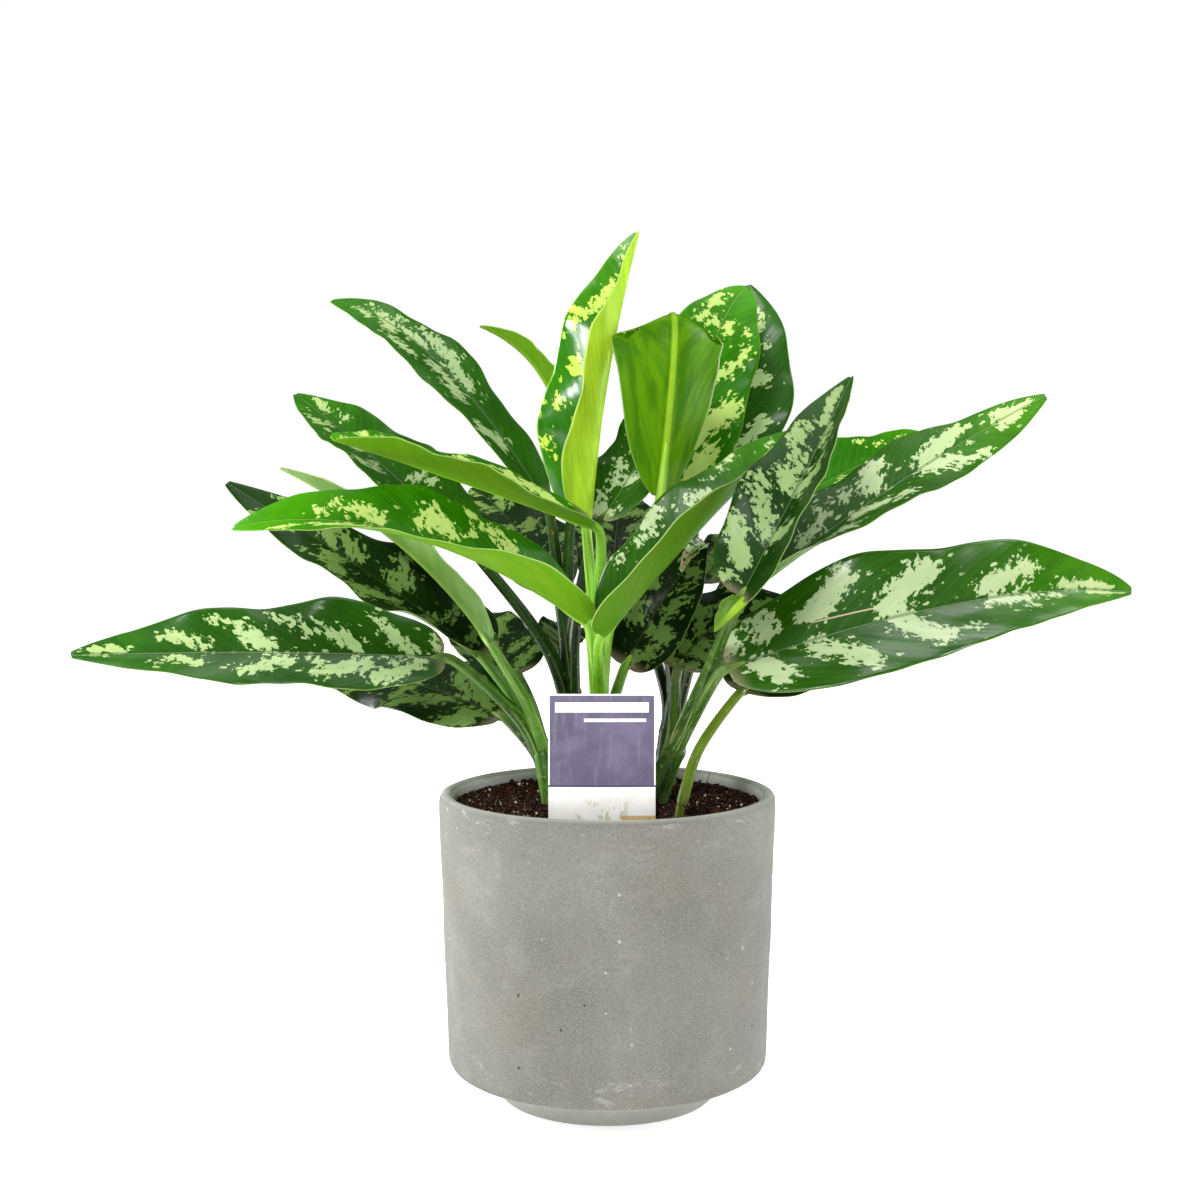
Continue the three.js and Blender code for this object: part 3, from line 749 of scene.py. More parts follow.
# The pale patches follow the strokes, with edges as uneven as a coast
def patch_mask(leaf):
    lean = leaf.minus(leaf.along, leaf.times(leaf.distance(leaf.across), 0.45))
    place = leaf.flat(lean, leaf.across)
    drift = leaf.stretched(place, (0.09, 0.08, 0), leaf.shift, 2, 0.5)
    lobes = leaf.stretched(place, (0.36, 0.31, 0), leaf.shift, 4, 0.66)
    bent = leaf.warped(place, 0.6, 1.6)
    teeth = leaf.cells(leaf.scaled(bent, (0.52, 0.42, 0), leaf.shift), 1, "Color", "2D")
    score = leaf.nudge(leaf.nudge(leaf.nudge(leaf.field, drift, 8), lobes, 20), teeth, 4.4)
    return leaf.most(leaf.step(score, 0.15, 0.37), islets(leaf, place))


# Small pale islands in the neighbourhood of the patches, some large and most missing
def islets(leaf, place):
    bent = leaf.scaled(leaf.warped(place, 0.8, 2.4), (0.15, 0.32, 0), leaf.shift)
    chance = leaf.parts(leaf.cells(bent, 1, "Color", "2D"))[0]
    reach = leaf.times(leaf.minus(chance, 0.64), 0.8)
    inside = leaf.step(leaf.minus(reach, leaf.cells(bent, 1, "Distance", "2D")), 0.0, 0.05)
    return leaf.times(inside, leaf.step(leaf.field, -9.0, -4.0))


# A thin line that fades out at its ends
def scratch_mask(leaf):
    start, end = SCRATCH_ENDS
    run = leaf.math("DIVIDE", leaf.minus(leaf.along, start[0]), end[0] - start[0])
    line = leaf.math("MULTIPLY_ADD", run, end[1] - start[1], start[1])
    inside = leaf.times(leaf.step(run, -0.03, 0.03), leaf.below(run, 0.9, 1.0))
    return leaf.times(inside, leaf.below(leaf.distance(leaf.across, line), 0.15, 0.5))


# The upper face's green, lighter in streaks and between the veins, and a deeper kind of it in clouds
def leaf_green(leaf, tip, cloud, streak):
    green = leaf.blend(tip, leaf.ground, leaf.ground_tip)
    deep = leaf.darker(green, (0.5, 0.55, 0.45))
    green = leaf.blend(leaf.step(cloud, 0.35, 0.65, 0.0, 0.6), green, deep)
    green = leaf.blend(leaf.times(leaf.step(streak, 0.4, 0.75), 0.2), green, leaf.ground_tip)
    between_veins = leaf.step(leaf.vein_wave(VEIN_SPACING), 0.6, 1.0, 0.0, 0.16)
    return leaf.blend(between_veins, green, leaf.ground_tip), deep


def leaf_upper(leaf, node):
    tip = leaf.step(leaf.along, leaf.leaf_length * 0.45, leaf.leaf_length)
    cloud = leaf.grain((0.05, 0.07, 0.03), 2, 0.5)
    streak = leaf.grain((1.5, 0.1, 0), 2, 0.6)
    green, deep = leaf_green(leaf, tip, cloud, streak)
    pale = leaf.blend(tip, leaf.patch, leaf.patch_tip)
    pale = leaf.blend(leaf.times(leaf.step(streak, 0.45, 0.8), 0.16), pale, green)
    pale = leaf.blend(leaf.step(cloud, 0.4, 0.6, 0.0, 0.12), pale, leaf.ground_tip)
    upper = leaf.blend(patch_mask(leaf), green, pale)
    off_rib = leaf.distance(leaf.across)
    upper = leaf.blend(leaf.step(off_rib, 0.4, 1.1, 0.55, 0.0), upper, deep)
    upper = leaf.blend(leaf.step(off_rib, 0.12, 0.36, 0.25, 0.0), upper, leaf.patch)
    # A pale line along the margin: partly the margin's own paler colour, partly a painted highlight where light
    # catches the edge
    upper = leaf.blend(leaf.times(leaf.step(leaf.margin, 0.968, 0.992), 0.4), upper, leaf.under)
    upper = leaf.tint(upper, leaf.below(leaf.along, 0, 6), 0.35, "#b3a084")
    if node == SCRATCHED_LEAF:
        upper = leaf.tint(upper, scratch_mask(leaf), 0.8, "#d3b9a4")
    return upper


# Below, a leaf is plainer: clouds, mottles and veins give their shares of darker green
def leaf_under(leaf, clouds, mottles, veins):
    cloud = leaf.step(leaf.grain((0.05, 0.05, 0.03), 3, 0.55), 0.35, 0.65, 0.0, clouds)
    mottle = leaf.step(leaf.grain((0.06, 0.09, 0), 4, 0.6), 0.42, 0.62, 0.0, mottles)
    arcs = leaf.step(leaf.vein_wave(2 * VEIN_SPACING), 0.6, 1.0, 0.0, veins)
    deep = leaf.darker(leaf.ground_tip, (0.62, 0.7, 0.5))
    under = leaf.blend(cloud, leaf.under, leaf.ground_tip)
    under = leaf.blend(arcs, leaf.blend(mottle, under, deep), deep)
    rib = leaf.below(leaf.distance(leaf.across), 0.6, 1.7)
    fade = leaf.step(leaf.along, 0.3 * leaf.leaf_length, 0.8 * leaf.leaf_length, 0.42, 0.08)
    under = leaf.tint(under, leaf.times(rib, fade), 1.0, "#b4dc3c")
    # A pale line along the margin: partly the margin's own paler colour, partly a painted highlight where light
    # catches the edge
    return leaf.tint(under, leaf.step(leaf.margin, 0.965, 0.995), 0.45, "#d4e69a")


# The dry end of a curl
def dry_tip(leaf, upper):
    spot = leaf.step(leaf.noise(leaf.spot, 0.25, 2, 0.6), 0.35, 0.5)
    end = leaf.step(leaf.along, 0.55 * leaf.leaf_length, 0.75 * leaf.leaf_length)
    return leaf.tint(upper, leaf.times(end, spot), 0.75, "#c9b193")


# A glossy leaf shines unevenly, and only above
def leaf_gloss(leaf, node, sheen):
    weight, rough = GLOSS.get(node, COMMON_GLOSS)
    leaf.fixed(Specular_IOR_Level=sheen, Coat_Weight=weight, Coat_Roughness=rough)
    if node in GLOSS:
        gleam = leaf.step(leaf.grain((0.07, 0.05, 0), 4, 0.6), 0.38, 0.58, 0.3 * weight, weight)
        leaf.feed(leaf.skin.inputs["Coat Weight"], leaf.times(gleam, leaf.minus(1.0, leaf.lower)))


def leaf_material(node, name, palette, number, length):
    leaf = LeafShader(name, palette, number, length)
    upper = leaf_upper(leaf, node)
    if name.endswith("_curl"):
        upper = dry_tip(leaf, upper)
    under = leaf_under(leaf, *(FOLDED_CLOUDS if node == FOLDED_LEAF else COMMON_CLOUDS))
    base = leaf.blend(leaf.step(leaf.lower, 0.4, 0.6), upper, under)
    leaf.surface(base, leaf.step(leaf.grain((0.8, 0.12, 0), 2, 0.6), 0.2, 0.8, 0.32, 0.46))
    pores = leaf.grain((1.3, 1.1, 0), 2, 0.6)
    leaf.bump(leaf.plus(leaf.times(leaf.vein_wave(VEIN_SPACING), 0.3), leaf.times(pores, 0.9)), 0.35, 0.0002)
    leaf_gloss(leaf, node, SHEEN.get(palette, COMMON_SHEEN))
    return leaf.material


# Canes and stalks


# A smooth line through points: the same centripetal curve as in the part's source
def smooth_line(points, count):
    points = [np.array(p, float) for p in points]
    points = [2 * points[0] - points[1], *points, 2 * points[-1] - points[-2]]
    dense = []
    for p0, p1, p2, p3 in zip(points, points[1:], points[2:], points[3:]):
        gaps = [max(np.linalg.norm(b - a) ** 0.5, 1e-4) for a, b in ((p0, p1), (p1, p2), (p2, p3))]
        first = (p1 - p0) / gaps[0] - (p2 - p0) / (gaps[0] + gaps[1]) + (p2 - p1) / gaps[1]
        last = (p2 - p1) / gaps[1] - (p3 - p1) / (gaps[1] + gaps[2]) + (p3 - p2) / gaps[2]
        first, last = first * gaps[1], last * gaps[1]
        t = np.linspace(0, 1, 60, endpoint=False)[:, None]
        square, cube = t * t, t * t * t
        bend = (2 * cube - 3 * square + 1) * p1 + (cube - 2 * square + t) * first
        dense.append(bend + (3 * square - 2 * cube) * p2 + (cube - square) * last)
    dense = np.concatenate([*dense, points[-2][None]])
    run = np.concatenate([[0], np.cumsum(np.linalg.norm(np.diff(dense, axis=0), axis=1))])
    wanted = np.linspace(0, run[-1], count)
    return np.stack([np.interp(wanted, run, dense[:, k]) for k in range(3)], -1)


# Directions along a line, and an upward one carried along it without roll from its end
def line_frames(line, up):
    along = unit(np.gradient(line, axis=0))
    ups = np.zeros_like(line)
    ups[-1] = perpendicular(np.array(up, float), along[-1])
    for i in range(len(line) - 2, -1, -1):
        ups[i] = perpendicular(ups[i + 1], along[i])
    return ups, np.cross(along, ups)


# A closed tube whose radius is given for every step and direction
def tube(line, up, radii):
    ups, sides = line_frames(line, up)
    turn = all_round(radii.shape[1])
    spread = ups[:, None] * np.cos(turn)[None, :, None] + sides[:, None] * np.sin(turn)[None, :, None]
    points = (line[:, None] + spread * radii[..., None]).reshape(-1, 3)
    return points, closed_faces(*radii.shape)


# A stalk's line ends inside the keel of its blade's midrib
def stalk_line(shoot, row):
    root_height, base, middle, tip, face = row[:5]
    cane = smooth_line(SHOOTS[shoot], 200)
    at = int(np.argmin(np.abs(cane[:, 2] - root_height)))
    root, rise = cane[at], unit(np.gradient(cane, axis=0))[at]
    length = math.dist(base, middle) + math.dist(middle, tip)
    inside = np.array([2.5, 5.5, 9.0, 13.0])
    rib, along, up, _ = rib_frames((base, middle, tip), face, np.array([0.0, *(inside / length), 0.5]))
    end = rib[0] - along[0] * STALK_GAP
    reach = np.linalg.norm(end - root)
    lift = mix(root + rise * 0.3 * reach, end, 0.2)
    approach = end - unit(unit(end - root) + 2 * along[0]) * 0.045 * reach
    line = smooth_line([root, lift, approach, end], STALK_STEPS)
    tail = rib[1:5] - up[1:5] * np.array([0.7, 1.0, 1.2, 1.2])[:, None]
    return np.concatenate([line, tail]), up[0]


# Grooved above, with two thin wings beside the groove that end part of the way up
def stalk_mesh(shoot, row, tone, rng):
    line, up = stalk_line(shoot, row)
    single = shoot == "front"
    share = np.linspace(0, 1, len(line))[:, None]
    angle = np.abs((all_round(STALK_SIDES)[None, :] + np.pi) % (2 * np.pi) - np.pi)
    radius = np.interp(share, [0, 0.5, 1], SINGLE_STALK_RADIUS if single else STALK_RADIUS)
    taper = np.concatenate([np.ones(STALK_STEPS), STALK_END_TAPER])[:, None]
    swell = np.interp(share, [0, 0.05], [0.78, 1])
    groove = 0.2 * np.exp(-((angle / 0.4) ** 2)) * np.clip(share * 4, 0, 1)
    reach = SHEATH_SHARE + rng.uniform(-0.08, 0.08)
    height = 0 if single else WING_HEIGHT
    wing = height * np.clip(1 - share / reach, 0, 1) ** 0.35 * np.exp(-(((angle - 0.62) / 0.14) ** 2))
    ribs = 0.02 * np.cos(angle * 9 + rng.uniform(0, 6))
    points, faces = tube(line, up, radius * taper * swell * (1 - groove + wing + ribs))
    place = point_values(share * run_length(line), angle, share)
    tones = mix(CANE_TONE, tone, np.clip(share * 4, 0, 1))
    return points, faces, place, point_values(wing / WING_HEIGHT, 1 - taper, tones)


def cane_mesh(shoot, rng):
    line = smooth_line(SHOOTS[shoot], CANE_STEPS)
    single = shoot == "front"
    share = np.linspace(0, 1, len(line))[:, None]
    turn = all_round(CANE_SIDES)[None, :]
    radius = (SLIM_CANE if single else 1) * mix(*CANE_RADIUS, share)
    height = line[:, 2][:, None]
    along_ring = (height + 3) % RING_SPACING - RING_SPACING / 2
    rings = 0 if single else 0.05 * np.exp(-((along_ring / 0.9) ** 2))
    uneven = 0.03 * np.sin(turn * 3 + height * 0.3 + rng.uniform(0, 6))
    close = np.clip((1 - share) * 12, 0.35, 1) ** 0.5
    points, faces = tube(line, (0, -1, 0), radius * (1 + rings + uneven) * close)
    place = point_values(height - CANE_SOIL_Z, turn, 0 * share)
    return points, faces, place, point_values(0 * share, 0 * turn, CANE_TONE + 0 * turn)


def shoot_piece(shoot, rows, number):
    rng = np.random.default_rng(SEED + SHOOT_SEED + number)
    meshes = [cane_mesh(shoot, rng)]
    meshes += [stalk_mesh(shoot, row, tone, rng) for row, tone in zip(rows, STALK_TONES[shoot])]
    points, faces = joined([mesh[:2] for mesh in meshes])
    place, marks = (np.concatenate([mesh[k] for mesh in meshes]) for k in (2, 3))
    node = f"{shoot}_shoot"
    values = {"stem_place": place, "stem_marks": marks}
    settle(make_piece(f"{node}_stems", points, faces, stem_material(shoot, number), values), node, node)


def stem_material(shoot, number):
    light, main, dark = STEM_COLOURS[shoot]
    shade = Shader(f"{shoot}_shoot_finish")
    place = shade.attribute("stem_place")
    run, _, share = shade.parts(place)
    wing, end, tone = shade.parts(shade.attribute("stem_marks"))
    shift = (number * 5.1, number * 3.3, 0)
    streak = shade.stretched(place, (0.03, 1.5, 0), shift, 3, 0.6)
    lines = shade.stretched(place, (0.12, 7.0, 0), shift, 2, 0.6)
    mottle = shade.noise(shade.place(), 150, 4, 0.65)
    specks = shade.noise(shade.place(), 700, 2, 0.6)
    scars = shade.noise(shade.place(), 95, 4, 0.7)
    level = shade.nudge(tone, streak, 1.4)
    base = shade.blend(shade.step(level, 0.05, 0.5), colour(dark), colour(main))
    base = shade.coats(
        base,
        (level, 0.5, 1.1, 0.8, light),
        (lines, 0.54, 0.7, 0.14, light),
        (mottle, 0.52, 0.68, 0.15, light),
        (specks, 0.66, 0.74, 0.35, "#d3d8a4"),
        (scars, 0.66, 0.72, 0.6, "#7c6034"),
        (share, 0.55, 1.0, 0.2, light),
        (wing, 0.3, 0.9, 0.35, "#c3d092"),
    )
    base = shade.tint(base, shade.below(run, -5, 9), 0.6, "#6b5a36")
    base = shade.coats(base, (end, 0.0, 0.5, 0.6, "#9cc43c"))
    shade.surface(base, shade.step(streak, 0.2, 0.8, 0.34, 0.5))
    shade.bump(shade.plus(lines, mottle), 0.3, 0.0003)
    shade.fixed(Specular_IOR_Level=0.1, Coat_Weight=0.15, Coat_Roughness=0.18)
    return shade.material


# Pot


def pot_profile():
    inner = RIM_RADIUS - WALL
    corners = [
        (CENTRE_HOLE, 0),
        (FOOT_RADIUS - 1, 0),
        (FOOT_RADIUS, 1),
        (FOOT_TOP_RADIUS, FOOT_HEIGHT - 1),
        (FOOT_TOP_RADIUS + 0.6, FOOT_HEIGHT),
        (BODY_FOOT_RADIUS - EDGE_BEVEL, FOOT_HEIGHT),
        (BODY_FOOT_RADIUS - EDGE_BEVEL * 0.3, FOOT_HEIGHT + EDGE_BEVEL * 0.4),
        (BODY_FOOT_RADIUS, FOOT_HEIGHT + EDGE_BEVEL * 1.3),
        (RIM_RADIUS, POT_HEIGHT - RIM_ROUND),
        (RIM_RADIUS - RIM_ROUND * 0.3, POT_HEIGHT - RIM_ROUND * 0.3),
        (RIM_RADIUS - RIM_ROUND, POT_HEIGHT),
        (inner + RIM_ROUND * 0.7, POT_HEIGHT),
        (inner, POT_HEIGHT - RIM_ROUND * 0.7),
        (BODY_FOOT_RADIUS - WALL, FLOOR_Z),
        (CENTRE_HOLE, FLOOR_Z),
    ]
    line = []
    for a, b in zip(corners, corners[1:]):
        pieces = max(1, round(math.dist(a, b) / POT_STEP))
        line += [(mix(a[0], b[0], k / pieces), mix(a[1], b[1], k / pieces)) for k in range(pieces)]
    line.append(corners[-1])
    return soften(np.array(line))


# Rounds the corners of a line of points a little
def soften(line):
    for _ in range(2):
        line[1:-1] = line[1:-1] * 0.6 + (line[:-2] + line[2:]) * 0.2
    return line


# The cast wall isn't quite even, but for the middle of the floor and of the foot
def uneven_wall(point):
    radius = math.hypot(point[0], point[1])
    if point[2] > 3 and radius > 30:
        bulge = sum(depth * noise.noise(Vector(point) * close) for depth, close in WALL_BUMPS)
        point[:2] *= 1 + bulge / radius


def pot_piece():
    profile = pot_profile()
    turn = all_round(POT_SEGMENTS)
    radius, height = profile[:, 0][:, None], profile[:, 1][:, None]
    points = point_values(radius * np.cos(turn), radius * np.sin(turn), height)
    for point in points:
        uneven_wall(point)
    faces = closed_faces(len(profile), POT_SEGMENTS)
    settle(make_piece("pot_cast", points, faces, pot_material()), "pot", "pot")


# Small marks scattered at random, some large and most missing
def scattered(shade, place, scale, shift, size, rarity):
    place = shade.warped(shade.scaled(place, (1, 1, 1), shift), 400, 0.0012)
    chance = shade.parts(shade.cells(place, scale, "Color"))[0]
    reach = shade.times(shade.minus(chance, rarity), size / (1 - rarity))
    return shade.step(shade.minus(reach, shade.cells(place, scale)), 0.0, 0.02)


# A noise taken at another place, so that it doesn't go with the others
def elsewhere(shade, place, shift, *settings):
    return shade.noise(shade.scaled(place, (1, 1, 1), shift), *settings)


# Pale scuffs, most of them near the foot and the rim
def pot_scuffs(shade, place, height):
    ends = shade.most(shade.below(height, 0.02, 0.032), shade.step(height, 0.122, 0.133))
    scuff = shade.noise(shade.scaled(place, (1, 1, 2.4)), 48, 6, 0.75, 0.4)
    return shade.times(shade.step(scuff, 0.55, 0.68), shade.math("MULTIPLY_ADD", ends, 0.75, 0.12))


# Painted light: the inside of the wall and the top of the rim are made paler, standing in for the light that
# falls on them
def painted_mouth_light(shade, x, y, height):
    wall = (RIM_RADIUS - WALL) * MM
    inside = shade.below(shade.length(shade.flat(x, y)), wall + 0.0004, wall + 0.0016)
    return shade.most(inside, shade.step(height, 0.1352, 0.137))


def pot_material():
    shade = Shader("pot_finish")
    place = shade.place()
    x, y, height = shade.parts(place)
    cloud = shade.noise(place, 17, 4, 0.6)
    patch = shade.noise(place, 60, 4, 0.7)
    grain = shade.noise(place, 1500, 3, 0.75)
    haze = elsewhere(shade, place, (5, 8, 1), 52, 8, 0.68, 0.3)
    warm = elsewhere(shade, place, (3, 1, 2), 26, 5, 0.65)
    fine = elsewhere(shade, place, (1, 5, 2), 2100, 2, 0.6)
    pin = scattered(shade, place, 110, (7, 3, 5), 0.12, 0.8)
    base = shade.blend(shade.step(cloud, 0.32, 0.68), colour("#6c6d68"), colour("#797a75"))
    base = shade.coats(
        base,
        (warm, 0.48, 0.7, 0.3, "#787060"),
        (patch, 0.42, 0.68, 0.2, "#61635d"),
        (haze, 0.48, 0.68, 0.3, "#8b8c87"),
        (grain, 0.5, 0.68, 0.4, "#96988f"),
        (grain, 0.5, 0.34, 0.36, "#4e4f49"),
        (fine, 0.55, 0.7, 0.35, "#a6a7a0"),
    )
    base = shade.tint(base, pot_scuffs(shade, place, height), 0.6, "#b6b7b0")
    base = shade.tint(base, scattered(shade, place, 75, (0, 0, 0), 0.07, 0.6), 0.6, "#c9cac2")
    base = shade.tint(base, scattered(shade, place, 190, (4, 2, 1), 0.15, 0.7), 0.5, "#bfc0b8")
    # Painted light: a paler colour on the inside of the wall and the top of the rim
    base = shade.tint(base, painted_mouth_light(shade, x, y, height), 0.6, "#abaca6")
    base = shade.tint(base, pin, 0.85, "#33332c")
    shade.surface(base, shade.step(cloud, 0.3, 0.7, 0.8, 0.95))
    relief = shade.plus(shade.times(grain, 0.6), shade.times(pin, -1.5))
    shade.bump(shade.plus(relief, shade.times(fine, 0.3)), 0.4, 0.0003)
    shade.fixed(Specular_IOR_Level=0.25)
    return shade.material


# Soil


def inner_radius_at(z):
    share = (z - FLOOR_Z) / (POT_HEIGHT - RIM_ROUND * 0.7 - FLOOR_Z)
    return mix(BODY_FOOT_RADIUS - WALL, RIM_RADIUS - WALL, share)


# The soil in front of the card is pressed down, below what can be seen over the rim
def before_card(x, y):
    return abs(x - LABEL_X) < LABEL_WIDTH / 2 + 3 and y < LABEL_Y + 2


def soil_height(x, y):
    inside = max(0.0, 1 - math.hypot(x, y) / inner_radius_at(SOIL_TOP))
    where = Vector((x, y, 0))
    lumps = 1.3 * noise.noise(where * 0.09) + 0.9 * noise.noise(where * 0.25 + Vector((9, 4, 2)))
    crumbs = 0.7 * noise.noise(where * 0.7) + 0.35 * noise.noise(where * 1.7)
    height = SOIL_DOME * min(1.0, inside * 2) + lumps * min(1, inside * 8) + crumbs
    return SOIL_TOP + (min(0, height) - 0.6 if before_card(x, y) else height)


# From the middle of the bottom out to the wall, and from there in over the surface
def soil_piece():
    bottom = FLOOR_Z + 0.5
    edge = inner_radius_at(SOIL_TOP) - 0.4
    rings = [(SOIL_HOLE, bottom), (inner_radius_at(FLOOR_Z) - 0.5, bottom)]
    rings += [(edge * (1 - ring / (SOIL_RINGS - 1)) + SOIL_HOLE, None) for ring in range(SOIL_RINGS)]
    points = []
    for radius, z in rings:
        for k in range(SOIL_SEGMENTS):
            turn = 2 * math.pi * k / SOIL_SEGMENTS
            x, y = radius * math.cos(turn), radius * math.sin(turn)
            points.append((x, y, soil_height(x, y) if z is None else z))
    faces = closed_faces(len(rings), SOIL_SEGMENTS)
    settle(make_piece("soil_ground", points, faces, soil_material("soil_finish")), "soil", "soil")


# A lump of peat: a small ball with an uneven skin
def lump_mesh(centre, size, rng):
    stretch = rng.uniform(0.6, 1.3, 3) * size
    points = []
    for i in range(LUMP_RINGS):
        polar = math.pi * (i + 0.5) / LUMP_RINGS
        for k in range(LUMP_SIDES):
            turn = 2 * math.pi * (k + 0.5 * (i % 2)) / LUMP_SIDES
            out = rng.uniform(0.75, 1.15)
            ball = (math.sin(polar) * math.cos(turn), math.sin(polar) * math.sin(turn), -math.cos(polar))
            points.append([c + b * s * out for c, b, s in zip(centre, ball, stretch)])
    return points, closed_faces(LUMP_RINGS, LUMP_SIDES)


def fibre_mesh(line, radius):
    return tube(smooth_line(line, FIBRE_STEPS), (0.1, 0.2, 1), np.full((FIBRE_STEPS, FIBRE_SIDES), radius))


# A root fibre that lies on the soil in a random direction
def loose_fibre(start, rng):
    heading, length = rng.uniform(0, 2 * math.pi), rng.uniform(2.5, 8)
    way = np.array([math.cos(heading), math.sin(heading), rng.uniform(-0.1, 0.35)]) * length
    bend = rng.normal(0, 0.1, 3) * length
    return fibre_mesh([start, start + way * 0.5 + bend, start + way], rng.uniform(0.07, 0.17))


def on_soil(rng, edge):
    while True:
        radius, turn = edge * math.sqrt(rng.uniform()), rng.uniform(0, 2 * math.pi)
        x, y = radius * math.cos(turn), radius * math.sin(turn)
        if not before_card(x, y):
            return np.array([x, y, soil_height(x, y)])


# A crumb and its tone: a few are pale and half as large
def crumb(rng, edge):
    size = min(1.7, 0.35 + rng.exponential(0.32))
    pale = rng.uniform() < PALE_CRUMBS
    centre = on_soil(rng, edge) + (0, 0, size * 0.3)
    tone = rng.uniform(0.87, 1.0) if pale else rng.uniform(0, 0.65)
    return lump_mesh(centre, size * (0.5 if pale else 1), rng), tone


def soil_litter():
    rng = np.random.default_rng(SEED + LITTER_SEED)
    edge = inner_radius_at(SOIL_TOP)
    litter = [crumb(rng, edge - 2) for _ in range(CRUMBS)]
    for _ in range(FIBRES):
        litter.append((loose_fibre(on_soil(rng, edge - 6) + (0, 0, 0.2), rng), rng.uniform(0.5, 0.85)))
    litter += [(fibre_mesh(line, 0.16), 0.1) for line in STANDING_FIBRES]
    points, faces = joined([mesh for mesh, _ in litter])
    tones = []
    for mesh, tone in litter:
        tones += [(tone, rng.uniform(), 0)] * len(mesh[0])
    material = soil_material("soil_litter_finish", tinted=True)
    settle(make_piece("soil_litter", points, faces, material, {"litter_tone": tones}), "soil")


def soil_material(name, tinted=False):
    shade = Shader(name)
    place = shade.place()
    crumbly = shade.noise(place, 700, 4, 0.75)
    large = shade.noise(place, 110, 3, 0.6)
    flecks = elsewhere(shade, place, (2, 4, 6), 1500, 2, 0.6)
    base = shade.blend(shade.step(crumbly, 0.38, 0.66), colour("#020100"), colour("#1e100b"))
    base = shade.coats(base, (large, 0.45, 0.7, 0.35, "#3a1b10"), (flecks, 0.6, 0.68, 0.7, "#9c826c"))
    if tinted:
        tone, _, _ = shade.parts(shade.attribute("litter_tone"))
        base = shade.coats(base, (tone, 0.35, 0.85, 0.75, "#542c1c"), (tone, 0.84, 0.97, 1.0, "#d8ccbc"))
    shade.surface(base, shade.step(large, 0.2, 0.8, 0.85, 1.0))
    shade.bump(crumbly, 0.6, 0.0006)
    shade.fixed(Specular_IOR_Level=0.03)
    return shade.material


# Label


def label_half_width(z):
    half = LABEL_WIDTH / 2
    if z < LABEL_SHOULDER:
        return mix(0.6, half, (z - LABEL_POINT) / (LABEL_SHOULDER - LABEL_POINT))
    below = LABEL_TOP - z
    if below < LABEL_CORNER:
        return half - LABEL_CORNER + math.sqrt(max(0, LABEL_CORNER**2 - (LABEL_CORNER - below) ** 2))
    return half


# Heights of the card's rows: its pointed stake, its face and its round corners
def label_heights():
    stake = np.linspace(LABEL_POINT, LABEL_SHOULDER, 12)
    face = np.linspace(LABEL_SHOULDER + 2, LABEL_TOP - 2, 40)
    corner = LABEL_TOP - LABEL_CORNER * (1 - np.cos(np.linspace(np.pi / 2, 0, 9)))
    return np.concatenate([stake, face, corner])


def label_piece():
    across = np.linspace(-1, 1, 25)
    rows = []
    for z in label_heights():
        bow = LABEL_BOW * math.sin(math.pi * (z - LABEL_POINT) / (LABEL_TOP - LABEL_POINT))
        x = LABEL_X + label_half_width(z) * across
        y = LABEL_Y - bow * (1 - across * across) + 0.25 * bow
        front, back = (np.stack([x, y + side * LABEL_THICK / 2, z + 0 * x], -1) for side in (-1, 1))
        rows.append(np.concatenate([front, back[::-1]]))
    faces = closed_faces(len(rows), len(rows[0]))
    piece = make_piece("label_card", np.concatenate(rows), faces, label_material())
    edge = piece.modifiers.new("soft_edge", "BEVEL")
    edge.width, edge.segments, edge.limit_method = LABEL_EDGE * MM, 2, "ANGLE"
    settle(piece, "label", "label")


def bar_mask(shade, x, z, bar):
    middle, half, height, thick = bar
    wide = shade.below(shade.distance(x, middle), half - PRINT_BLUR, half + PRINT_BLUR)
    high = shade.below(shade.distance(z, height), thick - PRINT_BLUR, thick + PRINT_BLUR)
    return shade.times(wide, high)


# The white border and the white foot of the card
def blank_mask(shade, x, z):
    side = LABEL_WIDTH / 2 - LABEL_BORDER
    top = LABEL_TOP - LABEL_BORDER
    sides = shade.step(shade.distance(x), side - PRINT_BLUR, side + PRINT_BLUR)
    head = shade.step(z, top - PRINT_BLUR, top + PRINT_BLUR)
    foot = shade.below(z, LABEL_BAND_Z - PRINT_BLUR, LABEL_BAND_Z + PRINT_BLUR)
    return shade.most(shade.most(sides, head), foot)


# The card's front: a dark field with plain light bars, and areas of soft colour at its foot
def label_print(shade, place, x, z, dark, white):
    card = shade.blend(blank_mask(shade, x, z), dark, white)
    card = shade.blend(shade.below(shade.distance(z, LABEL_BAND_Z), 0.3, 0.45), card, colour("#27224f"))
    for bar in LIGHT_BARS:
        card = shade.blend(bar_mask(shade, x, z, bar), card, white)
    leafy = shade.noise(shade.scaled(place, (1, 1, 0.5)), 520, 3, 0.6)
    green = shade.times(shade.step(leafy, 0.53, 0.6), shade.below(shade.distance(x), 9, 12))
    card = shade.tint(card, shade.times(green, shade.below(z, 138, 144)), 0.6, "#a9b878")
    return shade.tint(card, bar_mask(shade, x, z, FOOT_BAR), 0.8, "#c9a648")


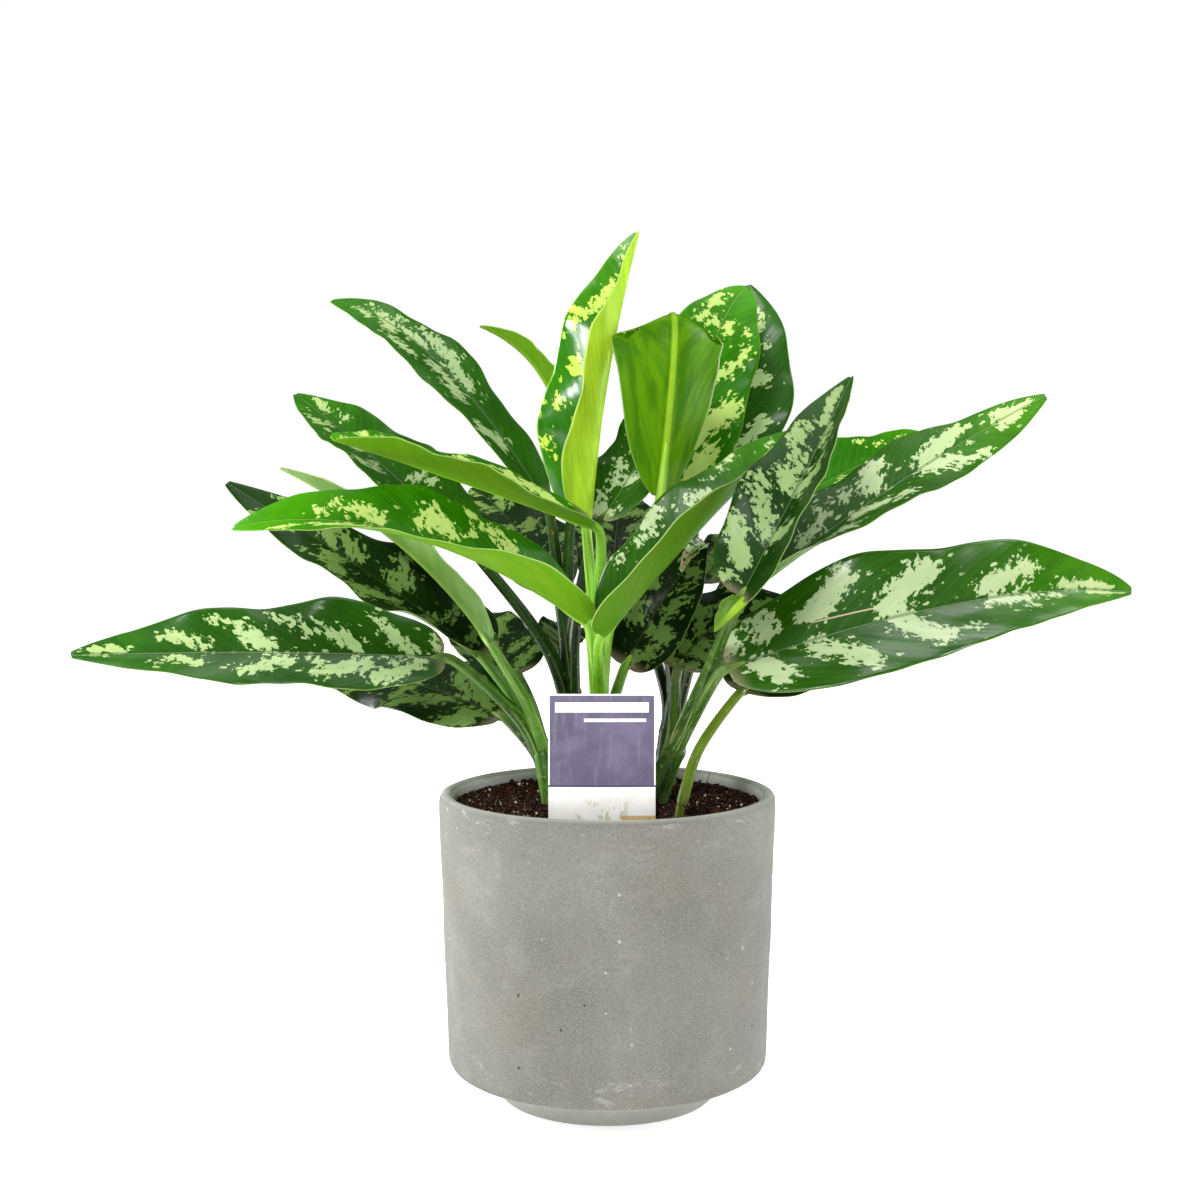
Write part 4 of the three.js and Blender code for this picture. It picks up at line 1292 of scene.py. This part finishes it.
def label_material():
    shade = Shader("label_finish")
    place = shade.place()
    x, y, z = shade.parts(shade.scaled(place, (1 / MM,) * 3, (-LABEL_X, -LABEL_Y, 0)))
    cloud = shade.noise(place, 60, 3, 0.6, 0.4)
    brush = shade.noise(shade.scaled(place, (1, 1, 0.14)), 380, 3, 0.6)
    dark = shade.blend(shade.step(cloud, 0.32, 0.66), colour("#473f5c"), colour("#625977"))
    dark = shade.coats(dark, (brush, 0.5, 0.75, 0.35, "#857c94"))
    white = shade.blend(shade.step(cloud, 0.4, 0.7), colour("#fbfaf6"), colour("#f1f0ea"))
    front = label_print(shade, place, x, z, dark, white)
    base = shade.blend(shade.below(y, 0.1, 0.3), white, front)
    shade.surface(base, shade.step(cloud, 0.3, 0.7, 0.4, 0.52))
    shade.bump(brush, 0.1, 0.0001)
    shade.fixed(Coat_Weight=0.1, Coat_Roughness=0.3)
    return shade.material


# Stage: floor, lights and camera


def floor_piece():
    corners = [(x * FLOOR_SIZE, y * FLOOR_SIZE, 0) for x, y in ((-1, -1), (1, -1), (1, 1), (-1, 1))]
    mesh = bpy.data.meshes.new("floor")
    mesh.from_pydata(corners, [], [(0, 1, 2, 3)])
    shade = Shader("floor_finish")
    place = shade.place()
    tone = shade.noise(place, 3, 2, 0.5)
    shade.surface(shade.blend(tone, colour("#ececea"), colour("#f2f2f0")), 0.9)
    away = shade.length(place)
    near = shade.step(away, *FOOT_GLOW_REACH, FOOT_GLOW, 0.0)
    far = shade.step(away, *FLOOR_GLOW_REACH, *FLOOR_GLOW)
    shade.feed(shade.skin.inputs["Emission Strength"], shade.most(near, far))
    shade.fixed(Emission_Color=(1, 1, 1, 1))
    mesh.materials.append(shade.material)
    add_object("floor", mesh)


def area_light(name, place, size, power):
    data = bpy.data.lights.new(name, "AREA")
    data.shape = "RECTANGLE"
    data.size, data.size_y = size
    data.energy = power
    light = add_object(name, data)
    light.location = place
    light.rotation_euler = (Vector(PLANT_MIDDLE) - Vector(place)).to_track_quat("-Z", "Y").to_euler()


# The camera sees a white backdrop, and the plant is lit by a dimmer one
def studio_world():
    world = bpy.data.worlds.new("studio")
    world.use_nodes = True
    tree = world.node_tree
    seen = tree.nodes.new("ShaderNodeLightPath").outputs["Is Camera Ray"]
    strength = tree.nodes.new("ShaderNodeMapRange")
    strength.inputs["To Min"].default_value = AMBIENT
    strength.inputs["To Max"].default_value = 1.0
    tree.links.new(seen, strength.inputs["Value"])
    tree.links.new(strength.outputs[0], tree.nodes["Background"].inputs["Strength"])
    tree.nodes["Background"].inputs["Color"].default_value = (1, 1, 1, 1)
    return world


def stage():
    scene = bpy.context.scene
    scene.view_settings.view_transform = "Standard"
    scene.world = studio_world()
    floor_piece()
    for name, settings in LIGHTS.items():
        area_light(name, *settings)
    data = bpy.data.cameras.new("view")
    data.lens = CAMERA_LENS
    data.sensor_width = CAMERA_SENSOR
    camera = add_object("view", data)
    camera.location = CAMERA_PLACE
    camera.rotation_euler = (math.radians(CAMERA_TILT), 0, 0)
    scene.camera = camera


def build():
    stage()
    pot_piece()
    soil_piece()
    soil_litter()
    label_piece()
    number = 0
    for order, (shoot, rows) in enumerate(LEAVES.items()):
        shoot_piece(shoot, rows, order)
        for i, (row, look) in enumerate(zip(rows, LOOKS[shoot])):
            number += 1
            leaf_pieces(f"{shoot}_leaf_{i + 1}", row, number, look)


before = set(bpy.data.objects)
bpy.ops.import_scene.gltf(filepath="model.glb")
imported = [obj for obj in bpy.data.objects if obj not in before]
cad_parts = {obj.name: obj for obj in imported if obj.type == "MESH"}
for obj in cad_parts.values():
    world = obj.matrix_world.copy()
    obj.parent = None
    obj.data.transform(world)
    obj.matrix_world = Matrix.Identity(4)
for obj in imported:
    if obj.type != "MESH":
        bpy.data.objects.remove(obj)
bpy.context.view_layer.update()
build()
